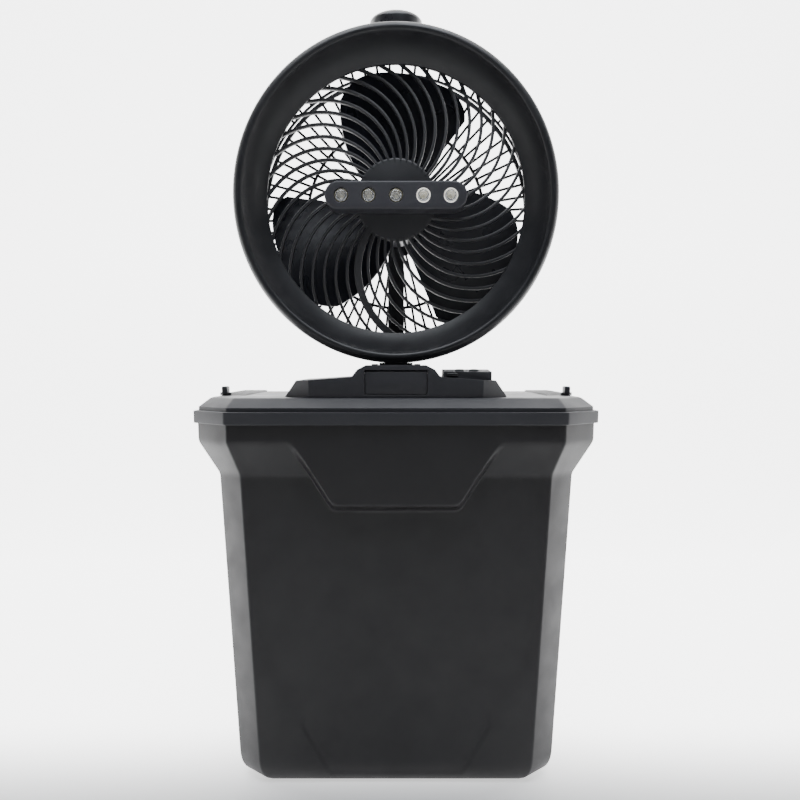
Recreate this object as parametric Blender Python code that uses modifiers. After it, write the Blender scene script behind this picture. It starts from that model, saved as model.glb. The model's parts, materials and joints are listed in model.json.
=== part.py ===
"""Portable tank-top fan: a drum fan head with a light bar, on a swivel and tilt neck, on the
pedestal of a lift-off lid, on a tapered water tank. Metres, +Z up, the front faces -Y, and the
origin is the middle of the tank's base."""

import math

import bmesh
import bpy
from mathutils import Matrix, Vector

# General fits
FIT = 0.0003  # gap between faces that touch
RUN = 0.0005  # gap round a piece that turns or slides
WALL = 0.003  # moulded wall of tank and lid
THIN_WALL = 0.0025  # moulded wall of pedestal and head
HEAD_SIDES = 60  # facets round the head

# Tank, measured across the collar
TANK_WIDTH = 0.373
TANK_DEPTH = 0.234
RIM_HEIGHT = 0.368
COLLAR_CUT = 0.033  # corner chamfer of the collar's plan
COLLAR_HEIGHT = 0.024
SHOULDER_DROP = 0.0315
SHOULDER_INSET = 0.0175
DRAFT_INSET = 0.010  # how far the walls close in from shoulder to foot
BODY_CUT = 0.024
FOOT_ROUND = 0.013
FOOT_RISE = 0.028
FOOT_SHARPNESS = 2.6  # power of the foot's rounding: 2 is a circle, more is squarer
BIB_TOP = 0.198
BIB_BOTTOM = 0.118
BIB_DROP = 0.061
BIB_CORNER = 0.010

# Lid
SKIRT_HEIGHT = 0.012
SKIRT_LAP = 0.007  # how far the skirt hangs below the rim
LID_RISE = 0.012  # from the skirt's top to the lid's top
LID_LEDGE = 0.0045  # flat ledge on top of the skirt
LID_STEP = 0.0036  # upright step behind the ledge
LID_SETBACK = 0.0165  # from the skirt in to the edge of the top
GASKET_WIDTH = 0.003
GASKET_HEIGHT = 0.002

# Lid locks
LOCK_INSET = 0.0155  # from the inner wall of the collar to the lock's axis
LOCK_FORWARD = 0.039
LOCK_TAB_WIDTH = 0.0055
LOCK_TAB_LENGTH = 0.014
LOCK_TAB_HEIGHT = 0.009
LOCK_TAB_ROUND = 0.0012
LOCK_SHAFT = 0.004
LOCK_COLLAR = 0.0055
CAM_THICKNESS = 0.007
CAM_BACK = 0.006
CAM_LOBE = 0.005

# Pedestal on the lid
PEDESTAL_WIDTH = 0.208
PEDESTAL_FRONT = 0.101
PEDESTAL_BACK = 0.085
PLATEAU_HALF = 0.0925
PLATEAU_HEIGHT = 0.0155
CROWN_HALF = 0.041
CROWN_HEIGHT = 0.0185
SLOPE_START = 0.025  # behind the swivel axis
SLOPE_EDGE = 0.003  # height of the back edge that the slope runs down to
CORNER_ACROSS = 0.024  # what each front corner's facet takes off the front
CORNER_ALONG = 0.018  # and off the side
BLOCK_DEPTH = 0.030
BLOCK_HEIGHT = 0.0295
BLOCK_TOP_HALF = 0.0275
BLOCK_SHOULDER_HALF = 0.0355
BLOCK_SHOULDER_HEIGHT = 0.0255

# Charging port cover in the block's face
PORT_WIDTH = 0.0575
PORT_HEIGHT = 0.0225
PORT_SILL = 0.0025  # above the lid
PORT_RECESS = 0.0055
PORT_CORNER = 0.002
COVER_THICKNESS = 0.0022
COVER_KNUCKLE = 0.0022
COVER_SET = 0.0008  # how far the cover lies behind the block's face
COVER_PIN = 0.0009
COVER_PIN_SEAT = 0.003  # how far the pin runs into the block at each end
SOCKET_WIDTH = 0.030
SOCKET_HEIGHT = 0.011
SOCKET_DEPTH = 0.014
JACK_WALL = 0.002
JACK_DEPTH = 0.010  # from the recess's floor

# Control module on the right shoulder
MODULE_LEFT = 0.044
MODULE_WIDTH = 0.0445
MODULE_FRONT = 0.091
MODULE_DEPTH = 0.034
MODULE_HEIGHT = 0.010
MODULE_SLANT = 0.0022  # how much lower its front edge is
BUTTON_RADIUS = 0.0045
BUTTON_PITCH = 0.0135
BUTTON_PROUD = 0.0016
BUTTON_LENGTH = 0.006
BUTTON_ROUND = 0.0008
BUTTON_SETBACK = 0.0122  # from the module's front edge to the row of buttons
MODULE_WALL = 0.002
WINDOW_LEFT = 0.003  # from the module's left end
WINDOW_WIDTH = 0.010
WINDOW_SILL = 0.0045
WINDOW_HEIGHT = 0.003
WINDOW_PROUD = 0.0008

# Battery tray below the lid
TRAY_WIDTH = 0.150
TRAY_LENGTH = 0.110
TRAY_DROP = 0.050
TRAY_FLANGE = 0.006
FLANGE_THICKNESS = 0.002
PACK_HEIGHT = 0.036
PACK_WIDTH = 0.1055
PACK_ROUND = 0.003
BOARD_GAP = 0.004  # between the pack and the upright board

# Swivel neck
WELL_RADIUS = 0.038
WELL_FLOOR = 0.0115  # above the lid
NECK_DISC = 0.006
NECK_WIDTH = 0.050
LUG_WIDTH = 0.034
PIVOT_RADIUS = 0.0063
TILT_PIN = 0.002
WASHER = 0.0008
STEM_RADIUS = 0.012
STEM_REACH = 0.003  # how far above the lid the stem ends
BUSH_WALL = 0.002
NUT_WALL = 0.006
NUT_THICKNESS = 0.004

# Fan head, in its own frame: X right, Y up, Z towards the front
HEAD_RADIUS = 0.1525
RIM_RADIUS = 0.1439
OPENING_RADIUS = 0.1235
HEAD_FRONT = 0.062
HEAD_BACK = 0.058
DISH_DEPTH = 0.0276
DISH_SAG = 0.003
RIM_ROLL = 0.010  # from the front rim back to the widest point
BEZEL_BAND = 0.0042
DRUM_STEP = 0.001
REAR_ROUND = 0.011
CORNER_SLOTS = 71
CORNER_SLOT_INNER = 0.0033  # from the rear opening's edge to the slots
CORNER_SLOT_REACH = 0.018  # from the rear face forward
RIM_LIP = 0.003  # from the dish's edge to where the front roll starts
RIM_LIP_BACK = 0.0012
HEAD_GAP = 0.0019  # between the drum and the top of the pedestal block

# Front grille
FRONT_RIBS = 40
RIB_WIDTH = 0.0029
WIDE_RIB = 0.0072
GRILLE_THICKNESS = 0.003
GRILLE_LAP = 0.006
GRILLE_RISE = 0.0135
HUB_RADIUS = 0.038
SPIRAL_LINEAR = math.radians(23.4)
SPIRAL_SQUARE = math.radians(16.2)
SLOT_STEPS = 4

# Rear grille
REAR_SPOKES_OUTER = 69
REAR_SPOKES_INNER = 46
REAR_RING_INNER = 0.0935
REAR_RING_OUTER = 0.1375
REAR_RING_WIDTH = 0.003
REAR_HUB = 0.040
SPOKE_WIDTH = 0.0025
REAR_THICKNESS = 0.0025
DUCT_WIDTH = 0.017
DUCT_DEPTH = 0.006
DUCT_WALL = 0.002

# Light bar
BAR_WIDTH = 0.132
BAR_HEIGHT = 0.0255
BAR_FRONT = 0.068
LED_COUNT = 5
LED_PITCH = 0.0253
LED_HOLE = 0.0068
BAR_WALL = 0.0022
LENS_DEPTH = 0.008
LENS_INSET = 0.0008  # how far the reflector's rim lies behind the bar's face
LENS_RIM = 0.0009
LENS_FLOOR = 0.0025
LENS_FLOOR_RADIUS = 0.0028
BOARD_THICKNESS = 0.0016

# Impeller and motor
BLADES = 3
TIP_RADIUS = 0.1265
TIP_ROUND = 0.014
TIP_SQUARENESS = 7  # power of the tip's rounding along its width
BLADE_CAMBER = 0.004
BLADE_THICKNESS = 0.0022
BLADE_FRONT = 0.010
BLADE_REAR = -0.026
HUB_CAP_RADIUS = 0.034
HUB_CAP_FRONT = 0.013
HUB_CAP_LENGTH = 0.040
HUB_CAP_ROUND = 0.005
HUB_CAP_FLOOR = 0.004
HUB_BOSS = 0.009
SHAFT_RADIUS = 0.003
MOTOR_RADIUS = 0.029
MOTOR_WALL = 0.002
MOTOR_EDGE = 0.002
MOTOR_FRONT = -0.0165
BEARING_RADIUS = 0.008
BEARING_WIDTH = 0.005
ROTOR_RADIUS = 0.0165
STATOR_WALL = 0.009
SHAFT_REACH = 0.006  # how far the shaft stands out of the hub cap
IMPELLER_NUT = 0.006
IMPELLER_NUT_LENGTH = 0.005
SCREW_RING = 0.021
TAP_DEPTH = 0.006

# Speed dial on top of the drum
DIAL_RADIUS = 0.0252
DIAL_HEIGHT = 0.016
DIAL_WALL = 0.002
DIAL_DOME = 0.013  # how far in the top's rounding reaches
DIAL_SHOULDER = 0.007  # and how far down
DIAL_SEAT = 0.010
DIAL_SEAT_INSET = 0.0025
DIAL_SHAFT = 0.003
DIAL_BOSS_WALL = 0.003
DIAL_FLOOR = 0.004
SWITCH_HALF = 0.010
SWITCH_DEPTH = 0.0112
SPINDLE_REACH = 0.008  # below the drum's wall
SAGITTA_GAP = 0.0008  # the switch's flat top under the drum's curved wall

# Shape of a blade seen from the front, anticlockwise from +X
BLADE_STRAIGHT_EDGE = math.radians(52)
BLADE_SWEPT_EDGE = math.radians(114)
BLADE_SWEEP = math.radians(327)  # per metre towards the hub

# Small parts
WIDE_RIB_ANGLE = math.radians(227.5)  # where the wide rib leaves the hub
CABLE_BORE = 0.004
MODULE_SINK = 0.001
SCREW_RADIUS = 0.0015
SCREW_HEAD = 0.0032
SCREW_HEAD_EDGE = 0.0012
SCREW_HEAD_HEIGHT = 0.002
BEYOND = 0.01  # how far a cutter runs past the faces it goes through

# Places worked out from the sizes above
RIM_HALF = TANK_WIDTH / 2
RIM_DEEP = TANK_DEPTH / 2
SKIRT_BOTTOM = RIM_HEIGHT - SKIRT_LAP
SKIRT_TOP = SKIRT_BOTTOM + SKIRT_HEIGHT
LID_TOP = SKIRT_TOP + LID_RISE
LID_HALF = RIM_HALF + RUN + WALL
LID_DEEP = RIM_DEEP + RUN + WALL
LOCK_X = RIM_HALF - WALL - LOCK_INSET
CORNER_RATIO = 2 - math.sqrt(2)  # a chamfer shrinks this much for each unit its octagon is inset
LID_CUT = COLLAR_CUT + (RUN + WALL) * CORNER_RATIO
BLOCK_TOP = LID_TOP + BLOCK_HEIGHT
FAN_AXIS = BLOCK_TOP + HEAD_GAP + HEAD_RADIUS
PIVOT_HEIGHT = BLOCK_TOP + HEAD_GAP - FIT - FIT - PIVOT_RADIUS
DRUM_RADIUS = HEAD_RADIUS - DRUM_STEP
SEAM = HEAD_FRONT - RIM_ROLL - BEZEL_BAND
DISH_BACK = HEAD_FRONT - DISH_DEPTH
GRILLE_FRONT = DISH_BACK - THIN_WALL - FIT
GRILLE_RADIUS = OPENING_RADIUS + GRILLE_LAP
HUB_FRONT = GRILLE_FRONT + GRILLE_RISE
BAR_BACK = HUB_FRONT + FIT
REAR_FACE = -HEAD_BACK
REAR_PLATE_RADIUS = DRUM_RADIUS - REAR_ROUND - FIT
MOTOR_BACK = REAR_FACE + REAR_THICKNESS + FIT
BUSH_RADIUS = STEM_RADIUS + FIT + BUSH_WALL
COVER_Y = -PEDESTAL_FRONT + COVER_KNUCKLE + COVER_SET
COVER_Z = LID_TOP + PORT_SILL + PORT_HEIGHT - COVER_KNUCKLE - RUN
COVER_PIN_HALF = PORT_WIDTH / 2 + COVER_PIN_SEAT

parts = None
cutters = None


def clear_scene():
    for thing in list(bpy.data.objects):
        bpy.data.objects.remove(thing, do_unlink=True)


def make_collections():
    global parts, cutters
    parts = bpy.data.collections.new("tank_top_fan")
    cutters = bpy.data.collections.new("cutters")
    for collection in (parts, cutters):
        bpy.context.scene.collection.children.link(collection)


def material(name, colour, roughness, metallic=0.0):
    made = bpy.data.materials.new(name)
    made.use_nodes = True
    shader = made.node_tree.nodes["Principled BSDF"]
    shader.inputs["Base Color"].default_value = (*colour, 1)
    shader.inputs["Roughness"].default_value = roughness
    shader.inputs["Metallic"].default_value = metallic
    return made


def frame(name, location, parent=None, rotation=(0, 0, 0)):
    empty = bpy.data.objects.new(name, None)
    empty.empty_display_size = 0.02
    empty.location = location
    empty.rotation_euler = rotation
    empty.parent = parent
    parts.objects.link(empty)
    return empty


def finish_object(name, mesh, look, parent, location, rotation):
    made = bpy.data.objects.new(name, mesh)
    made.location = location
    made.rotation_euler = rotation
    made.parent = parent
    if look is None:
        cutters.objects.link(made)
        made.hide_render = True
        made.display_type = "WIRE"
    else:
        parts.objects.link(made)
        mesh.materials.clear()
        mesh.materials.append(look)
    return made


def mesh_from(name, bm):
    bmesh.ops.recalc_face_normals(bm, faces=bm.faces)
    mesh = bpy.data.meshes.new(name)
    bm.to_mesh(mesh)
    bm.free()
    return mesh


def box(name, low, high, look=None, parent=None):
    """A box between two corners."""
    low, high = Vector(low), Vector(high)
    bm = bmesh.new()
    bmesh.ops.create_cube(bm, size=1, matrix=Matrix.LocRotScale((low + high) / 2, None, high - low))
    return finish_object(name, mesh_from(name, bm), look, parent, (0, 0, 0), (0, 0, 0))


def rod(name, radius, start, end, look=None, parent=None, segments=24):
    """A round bar between two points."""
    start, end = Vector(start), Vector(end)
    turn = (end - start).to_track_quat("Z", "Y")
    place = Matrix.LocRotScale((start + end) / 2, turn, None)
    bm = bmesh.new()
    bmesh.ops.create_cone(bm, cap_ends=True, segments=segments, radius1=radius, radius2=radius,
                          depth=(end - start).length, matrix=place)
    made = finish_object(name, mesh_from(name, bm), look, parent, (0, 0, 0), (0, 0, 0))
    smooth(made)
    return made


def smooth(thing, angle=35):
    thing.data.shade_smooth()
    thing.data.set_sharp_from_angle(angle=math.radians(angle))


def turned(name, profile, look=None, parent=None, segments=64, location=(0, 0, 0), closed=True):
    """A turned piece about its own Z. The profile runs down the outer side first."""
    bm = bmesh.new()
    points = [bm.verts.new((radius, 0, height)) for radius, height in profile]
    pairs = list(zip(points, points[1:] + points[:1])) if closed else list(zip(points, points[1:]))
    for pair in pairs:
        bm.edges.new(pair)
    mesh = bpy.data.meshes.new(name)
    bm.to_mesh(mesh)
    bm.free()
    made = finish_object(name, mesh, look, parent, location, (0, 0, 0))
    screw = made.modifiers.new("turn", "SCREW")
    screw.steps = segments
    screw.render_steps = segments
    screw.use_merge_vertices = True
    screw.merge_threshold = 0.00001
    screw.use_smooth_shade = True
    return made


def outline_points(shape):
    """Points of a list of 2D corners, each (x, y) or (x, y, radius) for a rounded one."""
    points = []
    for index, corner in enumerate(shape):
        here = Vector(corner[:2])
        if len(corner) == 2:
            points.append(here)
            continue
        before = (Vector(shape[index - 1][:2]) - here).normalized()
        after = (Vector(shape[(index + 1) % len(shape)][:2]) - here).normalized()
        half = before.angle(after) / 2
        reach = corner[2] / math.tan(half)
        centre = here + (before + after).normalized() * corner[2] / math.sin(half)
        first, last = here + before * reach, here + after * reach
        turn = (first - centre).angle_signed(last - centre)
        steps = 4
        for step in range(steps + 1):
            arm = (first - centre).copy()
            arm.rotate(Matrix.Rotation(-turn * step / steps, 2))
            points.append(centre + arm)
    return points


def plate(name, outlines, low, high, look=None, parent=None, dome=None):
    """A flat outline, with holes, between two heights. The first outline is the outer one."""
    curve = bpy.data.curves.new(name, "CURVE")
    curve.dimensions = "2D"
    curve.fill_mode = "BOTH"
    curve.extrude = (high - low) / 2
    for outline in outlines:
        spline = curve.splines.new("POLY")
        spline.points.add(len(outline) - 1)
        for point, corner in zip(spline.points, outline):
            point.co = (corner[0], corner[1], 0, 1)
        spline.use_cyclic_u = True
    drawn = bpy.data.objects.new(name + "_outline", curve)
    bpy.context.scene.collection.objects.link(drawn)
    graph = bpy.context.evaluated_depsgraph_get()
    mesh = bpy.data.meshes.new_from_object(drawn.evaluated_get(graph))
    bpy.data.objects.remove(drawn, do_unlink=True)
    bpy.data.curves.remove(curve)
    bm = bmesh.new()
    bm.from_mesh(mesh)
    bpy.data.meshes.remove(mesh)
    bmesh.ops.remove_doubles(bm, verts=bm.verts, dist=0.000001)
    for vert in bm.verts:
        vert.co.z += (low + high) / 2
        if dome:
            vert.co.z += dome(vert.co.xy.length)
    return finish_object(name, mesh_from(name, bm), look, parent, (0, 0, 0), (0, 0, 0))


def loft(name, rings, look=None, parent=None, cap_first=True, cap_last=True):
    """Faces between rings of points that have the same count, with the ends filled or open."""
    bm = bmesh.new()
    rows = [[bm.verts.new(point) for point in ring] for ring in rings]
    for lower, upper in zip(rows, rows[1:]):
        for index in range(len(lower)):
            after = (index + 1) % len(lower)
            bm.faces.new((lower[index], lower[after], upper[after], upper[index]))
    if cap_first:
        bm.faces.new(reversed(rows[0]))
    if cap_last:
        bm.faces.new(rows[-1])
    return finish_object(name, mesh_from(name, bm), look, parent, (0, 0, 0), (0, 0, 0))


def combine(base, other, operation):
    boolean = base.modifiers.new(operation.lower(), "BOOLEAN")
    boolean.operation = operation
    boolean.object = other
    boolean.solver = "EXACT"
    return base


def cut(base, other):
    return combine(base, other, "DIFFERENCE")


def join(base, other):
    return combine(base, other, "UNION")


def circle(radius, count, centre=(0, 0), start=0.0):
    turns = [start + math.tau * index / count for index in range(count)]
    return [(centre[0] + radius * math.cos(a), centre[1] + radius * math.sin(a)) for a in turns]


def stadium(width, height, count=10):
    """A bar with round ends, about the middle."""
    reach = (width - height) / 2
    points = []
    for side in (1, -1):
        for step in range(count + 1):
            angle = math.pi * (step / count - 0.5) + (0 if side > 0 else math.pi)
            points.append((side * reach + height / 2 * math.cos(angle), height / 2 * math.sin(angle)))
    return points


def hull(points):
    """The outline round a set of points, anticlockwise."""
    points = sorted(set((round(x, 7), round(y, 7)) for x, y in points))

    def chain(run):
        kept = []
        for point in run:
            while len(kept) > 1 and ((kept[-1][0] - kept[-2][0]) * (point[1] - kept[-2][1])
                                     <= (kept[-1][1] - kept[-2][1]) * (point[0] - kept[-2][0])):
                kept.pop()
            kept.append(point)
        return kept[:-1]

    return chain(points) + chain(points[::-1])


def octagon(half_width, half_depth, corner, height):
    """The tank's plan: a rectangle with its corners cut off."""
    near, far = half_width - corner, half_depth - corner
    plan = [(half_width, far), (near, half_depth), (-near, half_depth), (-half_width, far),
            (-half_width, -far), (-near, -half_depth), (near, -half_depth), (half_width, -far)]
    return [(x, y, height) for x, y in plan]


def tank_section(height):
    """How far the tank's outer wall lies inside the collar at a height."""
    collar_foot = RIM_HEIGHT - COLLAR_HEIGHT
    body_top = collar_foot - SHOULDER_DROP
    if height >= collar_foot:
        return 0.0
    if height >= body_top:
        return SHOULDER_INSET * (collar_foot - height) / SHOULDER_DROP
    inset = SHOULDER_INSET + DRAFT_INSET * (body_top - height) / body_top
    if height < FOOT_RISE:
        share = 1 - height / FOOT_RISE
        inset += FOOT_ROUND * (1 - math.sqrt(max(0.0, 1 - share ** FOOT_SHARPNESS)))
    return inset


def tank_ring(height, extra=0.0, level=None):
    inset = tank_section(height) + extra
    blend = min(1.0, tank_section(height) / SHOULDER_INSET)
    corner = COLLAR_CUT + (BODY_CUT - COLLAR_CUT) * blend
    return octagon(RIM_HALF - inset, RIM_DEEP - inset, corner - extra * CORNER_RATIO,
                   height if level is None else level)


def make_tank(plastic):
    collar_foot = RIM_HEIGHT - COLLAR_HEIGHT
    body_top = collar_foot - SHOULDER_DROP
    foot = [FOOT_RISE * share for share in (0.0, 0.06, 0.2, 0.45, 1.0)]
    heights = foot + [body_top, collar_foot, RIM_HEIGHT]
    tank = loft("tank_shell", [tank_ring(height) for height in heights], plastic)
    inner = [tank_ring(height, WALL, height + (WALL if height < FOOT_RISE else 0)) for height in heights[:-1]]
    inner.append(tank_ring(RIM_HEIGHT, WALL, RIM_HEIGHT + WALL))
    bib_low = collar_foot - BIB_DROP
    over = collar_foot + WALL
    top, bottom = BIB_TOP / 2, BIB_BOTTOM / 2
    slant = math.hypot(BIB_DROP, top - bottom) / BIB_DROP * WALL
    shape = [(-top, over), (-bottom, bib_low, BIB_CORNER), (bottom, bib_low, BIB_CORNER), (top, over)]
    inset = [(-top + slant, over), (-bottom + WALL, bib_low + WALL, BIB_CORNER),
             (bottom - WALL, bib_low + WALL, BIB_CORNER), (top - slant, over)]
    back = RIM_DEEP - SHOULDER_INSET - DRAFT_INSET
    upright = frame("tank_face", (0, 0, 0), None, (math.pi / 2, 0, 0))
    bib = plate("bib_block", [outline_points(shape)], back, RIM_DEEP, None, upright)
    bib_hollow = plate("bib_hollow", [outline_points(inset)], back - WALL, RIM_DEEP - WALL, None, upright)
    join(tank, bib)
    cut(tank, loft("tank_hollow", inner))
    cut(tank, bib_hollow)


def make_lid(plastic, rubber, lid_frame):
    def ring(inset, height):
        return octagon(LID_HALF - inset, LID_DEEP - inset, LID_CUT - inset * CORNER_RATIO, height)

    gasket_low = RIM_HEIGHT + FIT
    gasket_high = gasket_low + GASKET_HEIGHT
    ceiling = LID_TOP - WALL
    lid = loft("lid", [ring(0, SKIRT_BOTTOM), ring(0, SKIRT_TOP), ring(LID_LEDGE, SKIRT_TOP),
                       ring(LID_LEDGE, SKIRT_TOP + LID_STEP), ring(LID_SETBACK, LID_TOP)], plastic, lid_frame)
    cut(lid, loft("lid_hollow", [ring(WALL, SKIRT_BOTTOM - WALL), ring(WALL, gasket_high + FIT),
                                 ring(LID_SETBACK + WALL / 2, ceiling)]))
    cut(lid, box("tray_opening", (-TRAY_WIDTH / 2 - FIT, -TRAY_LENGTH / 2 - FIT, ceiling - WALL),
                 (TRAY_WIDTH / 2 + FIT, TRAY_LENGTH / 2 + FIT, LID_TOP + WALL)))
    for side in (-1, 1):
        place = (side * LOCK_X, -LOCK_FORWARD)
        cut(lid, rod(f"lock_hole_{side}", LOCK_SHAFT + RUN, (*place, ceiling - WALL),
                     (*place, LID_TOP + WALL)))
    outer = octagon(RIM_HALF - FIT, RIM_DEEP - FIT, COLLAR_CUT - FIT * CORNER_RATIO, 0)
    reach = FIT + GASKET_WIDTH
    inner = octagon(RIM_HALF - reach, RIM_DEEP - reach, COLLAR_CUT - reach * CORNER_RATIO, 0)
    plate("lid_gasket", [outer, inner], gasket_low, gasket_high, rubber, lid_frame)


def make_locks(plastic, nylon, lid_frame):
    """Quarter-turn locks: a thumb tab on top, and a lobed cam below that bears on the collar."""
    half = LOCK_TAB_WIDTH / 2
    base = FIT + half
    cam_top = RIM_HEIGHT - WALL + RUN - LID_TOP
    cam_low = cam_top - CAM_THICKNESS
    reach = LOCK_INSET - RUN - CAM_LOBE
    for side, word in ((-1, "left"), (1, "right")):
        axis = frame(f"lid_lock_{word}_axis", (side * LOCK_X, -LOCK_FORWARD, LID_TOP), lid_frame)
        tab = box(f"lid_lock_{word}", (-half, -LOCK_TAB_LENGTH / 2, FIT),
                  (half, LOCK_TAB_LENGTH / 2, LOCK_TAB_HEIGHT), plastic, axis)
        bevel = tab.modifiers.new("round", "BEVEL")
        bevel.width = LOCK_TAB_ROUND
        bevel.segments = 2
        join(tab, rod(f"lock_{word}_collar", LOCK_COLLAR, (0, 0, FIT), (0, 0, base), None, axis))
        join(tab, rod(f"lock_{word}_shaft", LOCK_SHAFT, (0, 0, cam_low), (0, 0, base), None, axis))
        points = circle(CAM_LOBE, 16, (side * reach, 0)) + circle(CAM_BACK, 16)
        plate(f"lid_lock_cam_{word}", [hull(points), circle(LOCK_SHAFT + FIT, 24)], cam_low, cam_top, nylon,
              axis)


def prism_x(name, low, high, section, look=None, parent=None):
    """A section of (y, z) corners, run along X."""
    return loft(name, [[(x, y, z) for y, z in section] for x in (low, high)], look, parent)


def make_pedestal(plastic, lid_frame):
    upright = frame("pedestal_face", (0, 0, 0), lid_frame, (math.pi / 2, 0, 0))
    base = LID_TOP + FIT
    half = PEDESTAL_WIDTH / 2
    plateau = LID_TOP + PLATEAU_HEIGHT
    crown = LID_TOP + CROWN_HEIGHT
    flat = MODULE_LEFT + MODULE_WIDTH

    def silhouette(inset, floor):
        side = [(half - 1.4 * inset, floor), (PLATEAU_HALF - 0.6 * inset, plateau - inset),
                (flat, plateau - inset), (CROWN_HALF, crown - inset)]
        return [(-x, z) for x, z in side] + side[::-1]

    def block(inset, floor):
        side = [(CROWN_HALF - inset, floor), (CROWN_HALF - inset, crown - inset),
                (BLOCK_SHOULDER_HALF - inset, LID_TOP + BLOCK_SHOULDER_HEIGHT - inset),
                (BLOCK_TOP_HALF - inset / 2, BLOCK_TOP - inset)]
        return [(-x, z) for x, z in side] + side[::-1]

    def slope(drop):
        start, end = crown - drop, base + SLOPE_EDGE - drop
        return [(SLOPE_START, start), (PEDESTAL_BACK + BEYOND, end), (PEDESTAL_BACK + BEYOND, crown + BEYOND),
                (SLOPE_START, crown + BEYOND)]

    def corner(side, wall):
        """What a facet takes off a front corner, seen from above, less a wall."""
        across, along = CORNER_ACROSS, CORNER_ALONG
        back = wall * math.hypot(across, along)
        first = (side * (half - across + back / along), -PEDESTAL_FRONT)
        last = (side * half, -PEDESTAL_FRONT + along - back / across)
        past_x, past_y = BEYOND, BEYOND * along / across
        shape = [(first[0] - side * past_x, first[1] - past_y), (last[0] + side * past_x, last[1] + past_y),
                 (last[0] + side * past_x, first[1] - past_y)]
        return shape[::side]

    cover = plate("pedestal_cover", [silhouette(0, base)], -PEDESTAL_BACK, PEDESTAL_FRONT, plastic, upright)
    block_back = PEDESTAL_FRONT - BLOCK_DEPTH
    join(cover, plate("block_outer", [block(0, base)], block_back, PEDESTAL_FRONT, None, upright))
    hollow = plate("pedestal_hollow", [silhouette(THIN_WALL, base - THIN_WALL)], -PEDESTAL_BACK + THIN_WALL,
                   PEDESTAL_FRONT - PORT_RECESS - THIN_WALL, None, upright)
    cut(hollow, prism_x("slope_inner", -half, half, slope(THIN_WALL), None, lid_frame))
    for side in (-1, 1):
        cut(hollow, plate(f"corner_inner_{side}", [corner(side, -THIN_WALL)], LID_TOP - BEYOND, crown, None,
                          lid_frame))
    cut(cover, hollow)
    cut(cover, plate("block_hollow", [block(THIN_WALL, base - THIN_WALL)], block_back + THIN_WALL,
                     PEDESTAL_FRONT - PORT_RECESS - THIN_WALL, None, upright))
    well_floor = LID_TOP + WELL_FLOOR
    join(cover, rod("well_cup", WELL_RADIUS + THIN_WALL, (0, 0, well_floor - THIN_WALL), (0, 0, crown - FIT),
                    None, lid_frame, 48))
    cut(cover, prism_x("slope_outer", -half, half, slope(0), None, lid_frame))
    for side in (-1, 1):
        cut(cover, plate(f"corner_outer_{side}", [corner(side, 0)], LID_TOP - BEYOND, crown, None, lid_frame))
    cut(cover, rod("well", WELL_RADIUS, (0, 0, well_floor), (0, 0, crown + BEYOND), None, lid_frame, 48))
    cut(cover, rod("bush_hole", BUSH_RADIUS + FIT, (0, 0, LID_TOP), (0, 0, crown), None, lid_frame))
    cut(cover, plate("port_recess", [port_outline(0)], PEDESTAL_FRONT - PORT_RECESS,
                     PEDESTAL_FRONT + BEYOND, None, upright))
    middle = LID_TOP + PORT_SILL + PORT_HEIGHT / 2 - COVER_KNUCKLE
    reach = SOCKET_WIDTH / 2 + FIT
    cut(cover, box("socket_hole", (-reach, -PEDESTAL_FRONT, middle - SOCKET_HEIGHT / 2 - FIT),
                   (reach, -PEDESTAL_FRONT + PORT_RECESS + 2 * THIN_WALL, middle + SOCKET_HEIGHT / 2 + FIT),
                   None, lid_frame))
    cut(cover, rod("pin_hole", COVER_PIN + FIT, (-COVER_PIN_HALF - FIT, COVER_Y, COVER_Z),
                   (COVER_PIN_HALF + FIT, COVER_Y, COVER_Z), None, lid_frame, 12))
    seat = plateau - MODULE_SINK
    cut(cover, box("module_seat", (MODULE_LEFT - FIT, -MODULE_FRONT - FIT, seat),
                   (MODULE_LEFT + MODULE_WIDTH + FIT, -MODULE_FRONT + MODULE_DEPTH + FIT, crown + BEYOND),
                   None, lid_frame))


def port_outline(inset):
    half = PORT_WIDTH / 2 - inset
    low = LID_TOP + PORT_SILL + inset
    high = LID_TOP + PORT_SILL + PORT_HEIGHT - inset
    return outline_points([(-half, low, PORT_CORNER), (half, low, PORT_CORNER), (half, high), (-half, high)])


def make_port(plastic, steel, socket, lid_frame):
    axis = frame("port_cover_axis", (0, COVER_Y, COVER_Z), lid_frame)
    upright = frame("port_cover_face", (0, 0, 0), axis, (math.pi / 2, 0, 0))
    half = PORT_WIDTH / 2 - RUN
    low = LID_TOP + PORT_SILL + RUN - COVER_Z
    outline = outline_points([(-half, low, PORT_CORNER), (half, low, PORT_CORNER), (half, 0), (-half, 0)])
    cover = plate("port_cover", [outline], 0, COVER_THICKNESS, plastic, upright)
    join(cover, rod("cover_knuckle", COVER_KNUCKLE, (-half, 0, 0), (half, 0, 0), None, axis, 16))
    cut(cover, rod("cover_bore", COVER_PIN + FIT, (-half - FIT, 0, 0), (half + FIT, 0, 0), None, axis, 12))
    rod("port_cover_pin", COVER_PIN, (-COVER_PIN_HALF, COVER_Y, COVER_Z), (COVER_PIN_HALF, COVER_Y, COVER_Z),
        steel, lid_frame, 12)
    middle = LID_TOP + PORT_SILL + PORT_HEIGHT / 2 - COVER_KNUCKLE
    front = -PEDESTAL_FRONT + PORT_RECESS
    jack = box("charging_socket", (-SOCKET_WIDTH / 2, front + FIT, middle - SOCKET_HEIGHT / 2),
               (SOCKET_WIDTH / 2, front + SOCKET_DEPTH, middle + SOCKET_HEIGHT / 2), socket, lid_frame)
    cut(jack, rod("jack_hole", SOCKET_HEIGHT / 2 - JACK_WALL, (0, front - FIT, middle),
                  (0, front + JACK_DEPTH, middle), None, lid_frame, 20))


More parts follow.
